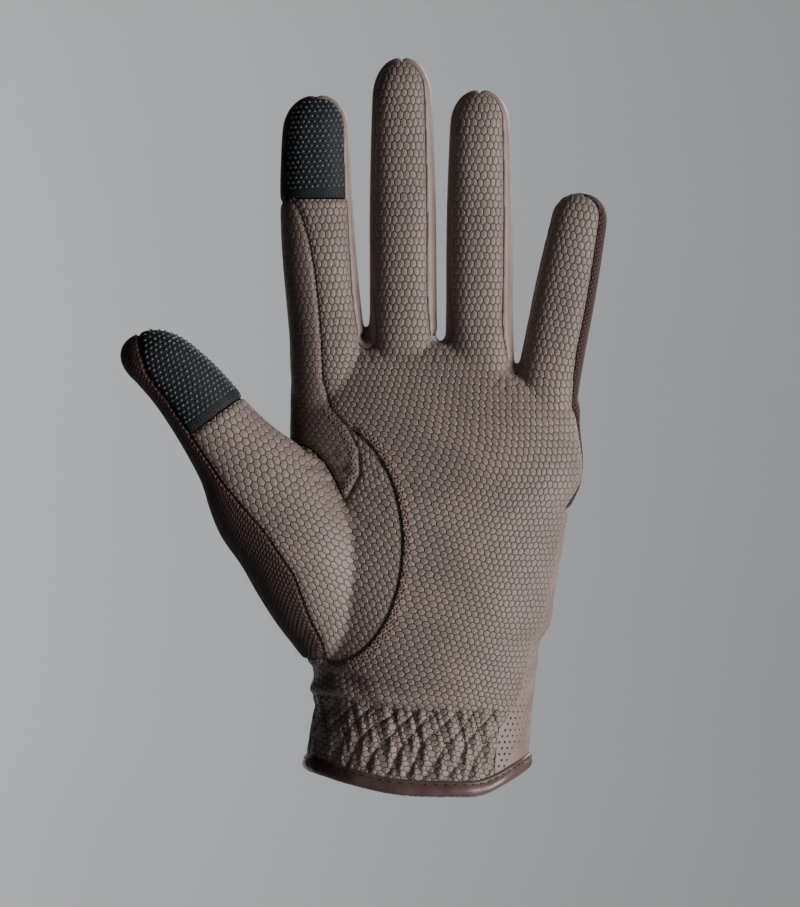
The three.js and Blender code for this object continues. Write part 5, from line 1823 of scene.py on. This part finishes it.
def knit(name, thread, ground):
    made, tree, shader = start_material(name)
    place = add(tree, "ShaderNodeUVMap", (), "UV", uv_map="grain")
    u, v = (add(tree, "ShaderNodeSeparateXYZ", (place,), axis) for axis in "XY")
    slant = add(tree, MATH, (u, KNIT_SLANT, v), operation="MULTIPLY_ADD")
    row = add(tree, MATH, (slant, KNIT_PITCH), operation="DIVIDE")
    shift = add(tree, MATH, (row,), operation="FLOOR")
    for operation, value in (("MODULO", 2.0), ("MULTIPLY", 0.5)):
        shift = add(tree, MATH, (shift, value), operation=operation)
    column = add(tree, MATH, (u, KNIT_PITCH * KNIT_NARROW), operation="DIVIDE")
    column = add(tree, MATH, (column, shift), operation="ADD")
    waves = []
    for along in (column, row):
        wave = add(tree, MATH, (along, math.pi), operation="MULTIPLY")
        wave = add(tree, MATH, (wave,), operation="SINE")
        wave = add(tree, MATH, (wave,), operation="ABSOLUTE")
        waves.append(add(tree, MATH, (wave, 0.7), operation="POWER"))
    loop = add(tree, MATH, tuple(waves), operation="MULTIPLY")
    fibre = add(tree, NOISE, {"Vector": place, "Scale": 6.0, "Detail": 2.0, "Roughness": 0.5})
    on_loop = add(tree, RANGE, (loop, 0.35, 0.95), **SOFT)
    fibrous = add(tree, RANGE, (fibre, 0.25, 0.75, 0.45, 1.0), **SOFT)
    share = add(tree, MATH, (on_loop, fibrous), operation="MULTIPLY")
    colour = add(tree, MIX, {0: share, 6: linear(ground), 7: linear(thread)}, **COLOURS)
    height = add(tree, MATH, (fibre, 0.25, loop), operation="MULTIPLY_ADD")
    shader.inputs["Roughness"].default_value = 0.88
    shader.inputs["Sheen Weight"].default_value = 0.08
    shader.inputs["Sheen Roughness"].default_value = 0.5
    finish_surface(tree, shader, colour, height, 0.3, 0.9)
    return made


# Knitted polyester: rust-brown loops over a nearly black ground, quite matt
back_knit = knit("stretch_knit", "#60392f", "#130b09")
print("knit rows", KNIT_PITCH, "mm apart:", back_knit.name)

# %% [markdown]
# The pads' cloth and their dots are both rubbery and black, but the cloth scatters the light and the dots
# throw it back. So one recipe serves for both, with another roughness and another strength of reflection,
# and the dots are given a lighter grey, a painted highlight for their glints.

# %% Touch cloth and touch dots
def touch_cloth(name, light, dark, rough, shine):
    made, tree, shader = start_material(name)
    place = add(tree, "ShaderNodeUVMap", (), "UV", uv_map="grain")
    weave = add(tree, NOISE, {"Vector": place, "Scale": 3.2, "Detail": 3.0, "Roughness": 0.6})
    woven = add(tree, RANGE, (weave, 0.3, 0.7), **SOFT)
    colour = add(tree, MIX, {0: woven, 6: linear(dark), 7: linear(light)}, **COLOURS)
    shader.inputs["Roughness"].default_value = rough
    shader.inputs["Specular IOR Level"].default_value = shine
    finish_surface(tree, shader, colour, weave, 0.12, 0.9)
    return made


# Rubber-coated cloth: almost black, with a dull sheen where it turns to the light
pad_cloth = touch_cloth("rubbery_touch_cloth", "#202427", "#131517", 0.7, 0.3)
# Moulded silicone: a small sharp highlight on every dot, and a grey lighter than the black cloth that is a
# painted highlight
dot_rubber_painted_highlight = touch_cloth("glossy_touch_dots_painted_highlight", "#4c5156", "#31353a", 0.28, 0.7)
print("pads:", pad_cloth.name, "and", dot_rubber_painted_highlight.name)

# %% [markdown]
# Sewing thread is twisted from plies, which show as fine slanting lines. They are thinner than a pixel here,
# so a wave of about a ply's width is enough to break up the colour.

# %% Thread
PLY_SCALE = 900.0


def thread_finish(name, light, dark, rough=0.6):
    made, tree, shader = start_material(name)
    place = add(tree, "ShaderNodeTexCoord", (), "Object")
    twist = {"Vector": place, "Scale": PLY_SCALE, "Distortion": 1.5}
    ply = add(tree, "ShaderNodeTexWave", twist, "Fac", bands_direction="DIAGONAL")
    colour = add(tree, MIX, {0: ply, 6: linear(dark), 7: linear(light)}, **COLOURS)
    shader.inputs["Roughness"].default_value = rough
    finish_surface(tree, shader, colour, ply, 0.05, 0.6)
    return made


# Twisted polyester: fine slanting plies with a soft shine
brown_thread = thread_finish("brown_thread", "#8b685c", "#4a322a")
# Almost black brown, so that the smocking and the binding keep their shadows
dark_thread = thread_finish("dark_thread", "#33251f", "#1a120f")
# Black with a little more shine, so that its stitches show on the dark pads
black_thread = thread_finish("black_thread", "#2d3033", "#15171a", 0.45)
print("threads:", brown_thread.name, dark_thread.name, black_thread.name)

# %% [markdown]
# Each piece gets its finish, rides on the glove's one body, and stands for the solid that it was cut from.

# %% Dress the pieces and hand over
DRESSES = dict(
    palm=(leather, "embossed_leather"),
    thumb_front=(leather, "embossed_leather"),
    index_side_panel=(side_leather_painted_shade, "smooth_leather"),
    index_touch_pad=(pad_cloth, "touch_pad"),
    thumb_touch_pad=(pad_cloth, "touch_pad"),
    back_knit=(back_knit, "knit"),
    thumb_back_knit=(back_knit, "knit"),
    back_cuff=(cuff_leather, "punched_leather"),
    finger_wall_index_middle=(wall_leather, "smooth_leather"),
    finger_wall_middle_ring=(wall_leather, "smooth_leather"),
    finger_wall_ring_little=(wall_leather, "smooth_leather"),
)
THREADS = dict(
    touch_pad_stitches=black_thread, smocking_stitches=dark_thread, binding_stitches=dark_thread,
)


def dress(piece, finish, slot):
    piece.data.materials.clear()
    piece.data.materials.append(finish)
    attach(piece, "root")


for node, panel in panels.items():
    dress(panel, *DRESSES[node])
    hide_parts(node)
dress(tab, leather, "embossed_leather")
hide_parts("closing_tab")
dress(binding, binding_leather, "binding_leather")
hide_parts("wrist_binding")
dress(dots, dot_rubber_painted_highlight, "touch_pad")
for name, made in threads.items():
    dress(made, THREADS.get(name, brown_thread), "smooth_leather")
print("dressed:", len(panels) + len(threads) + 3, "pieces")

# %% [markdown]
# The paper behind the glove is a plain pale grey. A faint cloud keeps it from looking like a flat fill.

# %% Studio paper
def paper_finish():
    made, tree, shader = start_material("studio_paper")
    place = add(tree, "ShaderNodeTexCoord", (), "Object")
    cloud = add(tree, NOISE, {"Vector": place, "Scale": 2.0, "Detail": 2.0, "Roughness": 0.5})
    colour = add(tree, MIX, {0: cloud, 6: linear("#abadb0"), 7: linear("#b5b7b9")}, **COLOURS)
    tree.links.new(colour, shader.inputs["Base Color"])
    shader.inputs["Roughness"].default_value = 0.9
    return made


floor.data.materials.append(paper_finish())
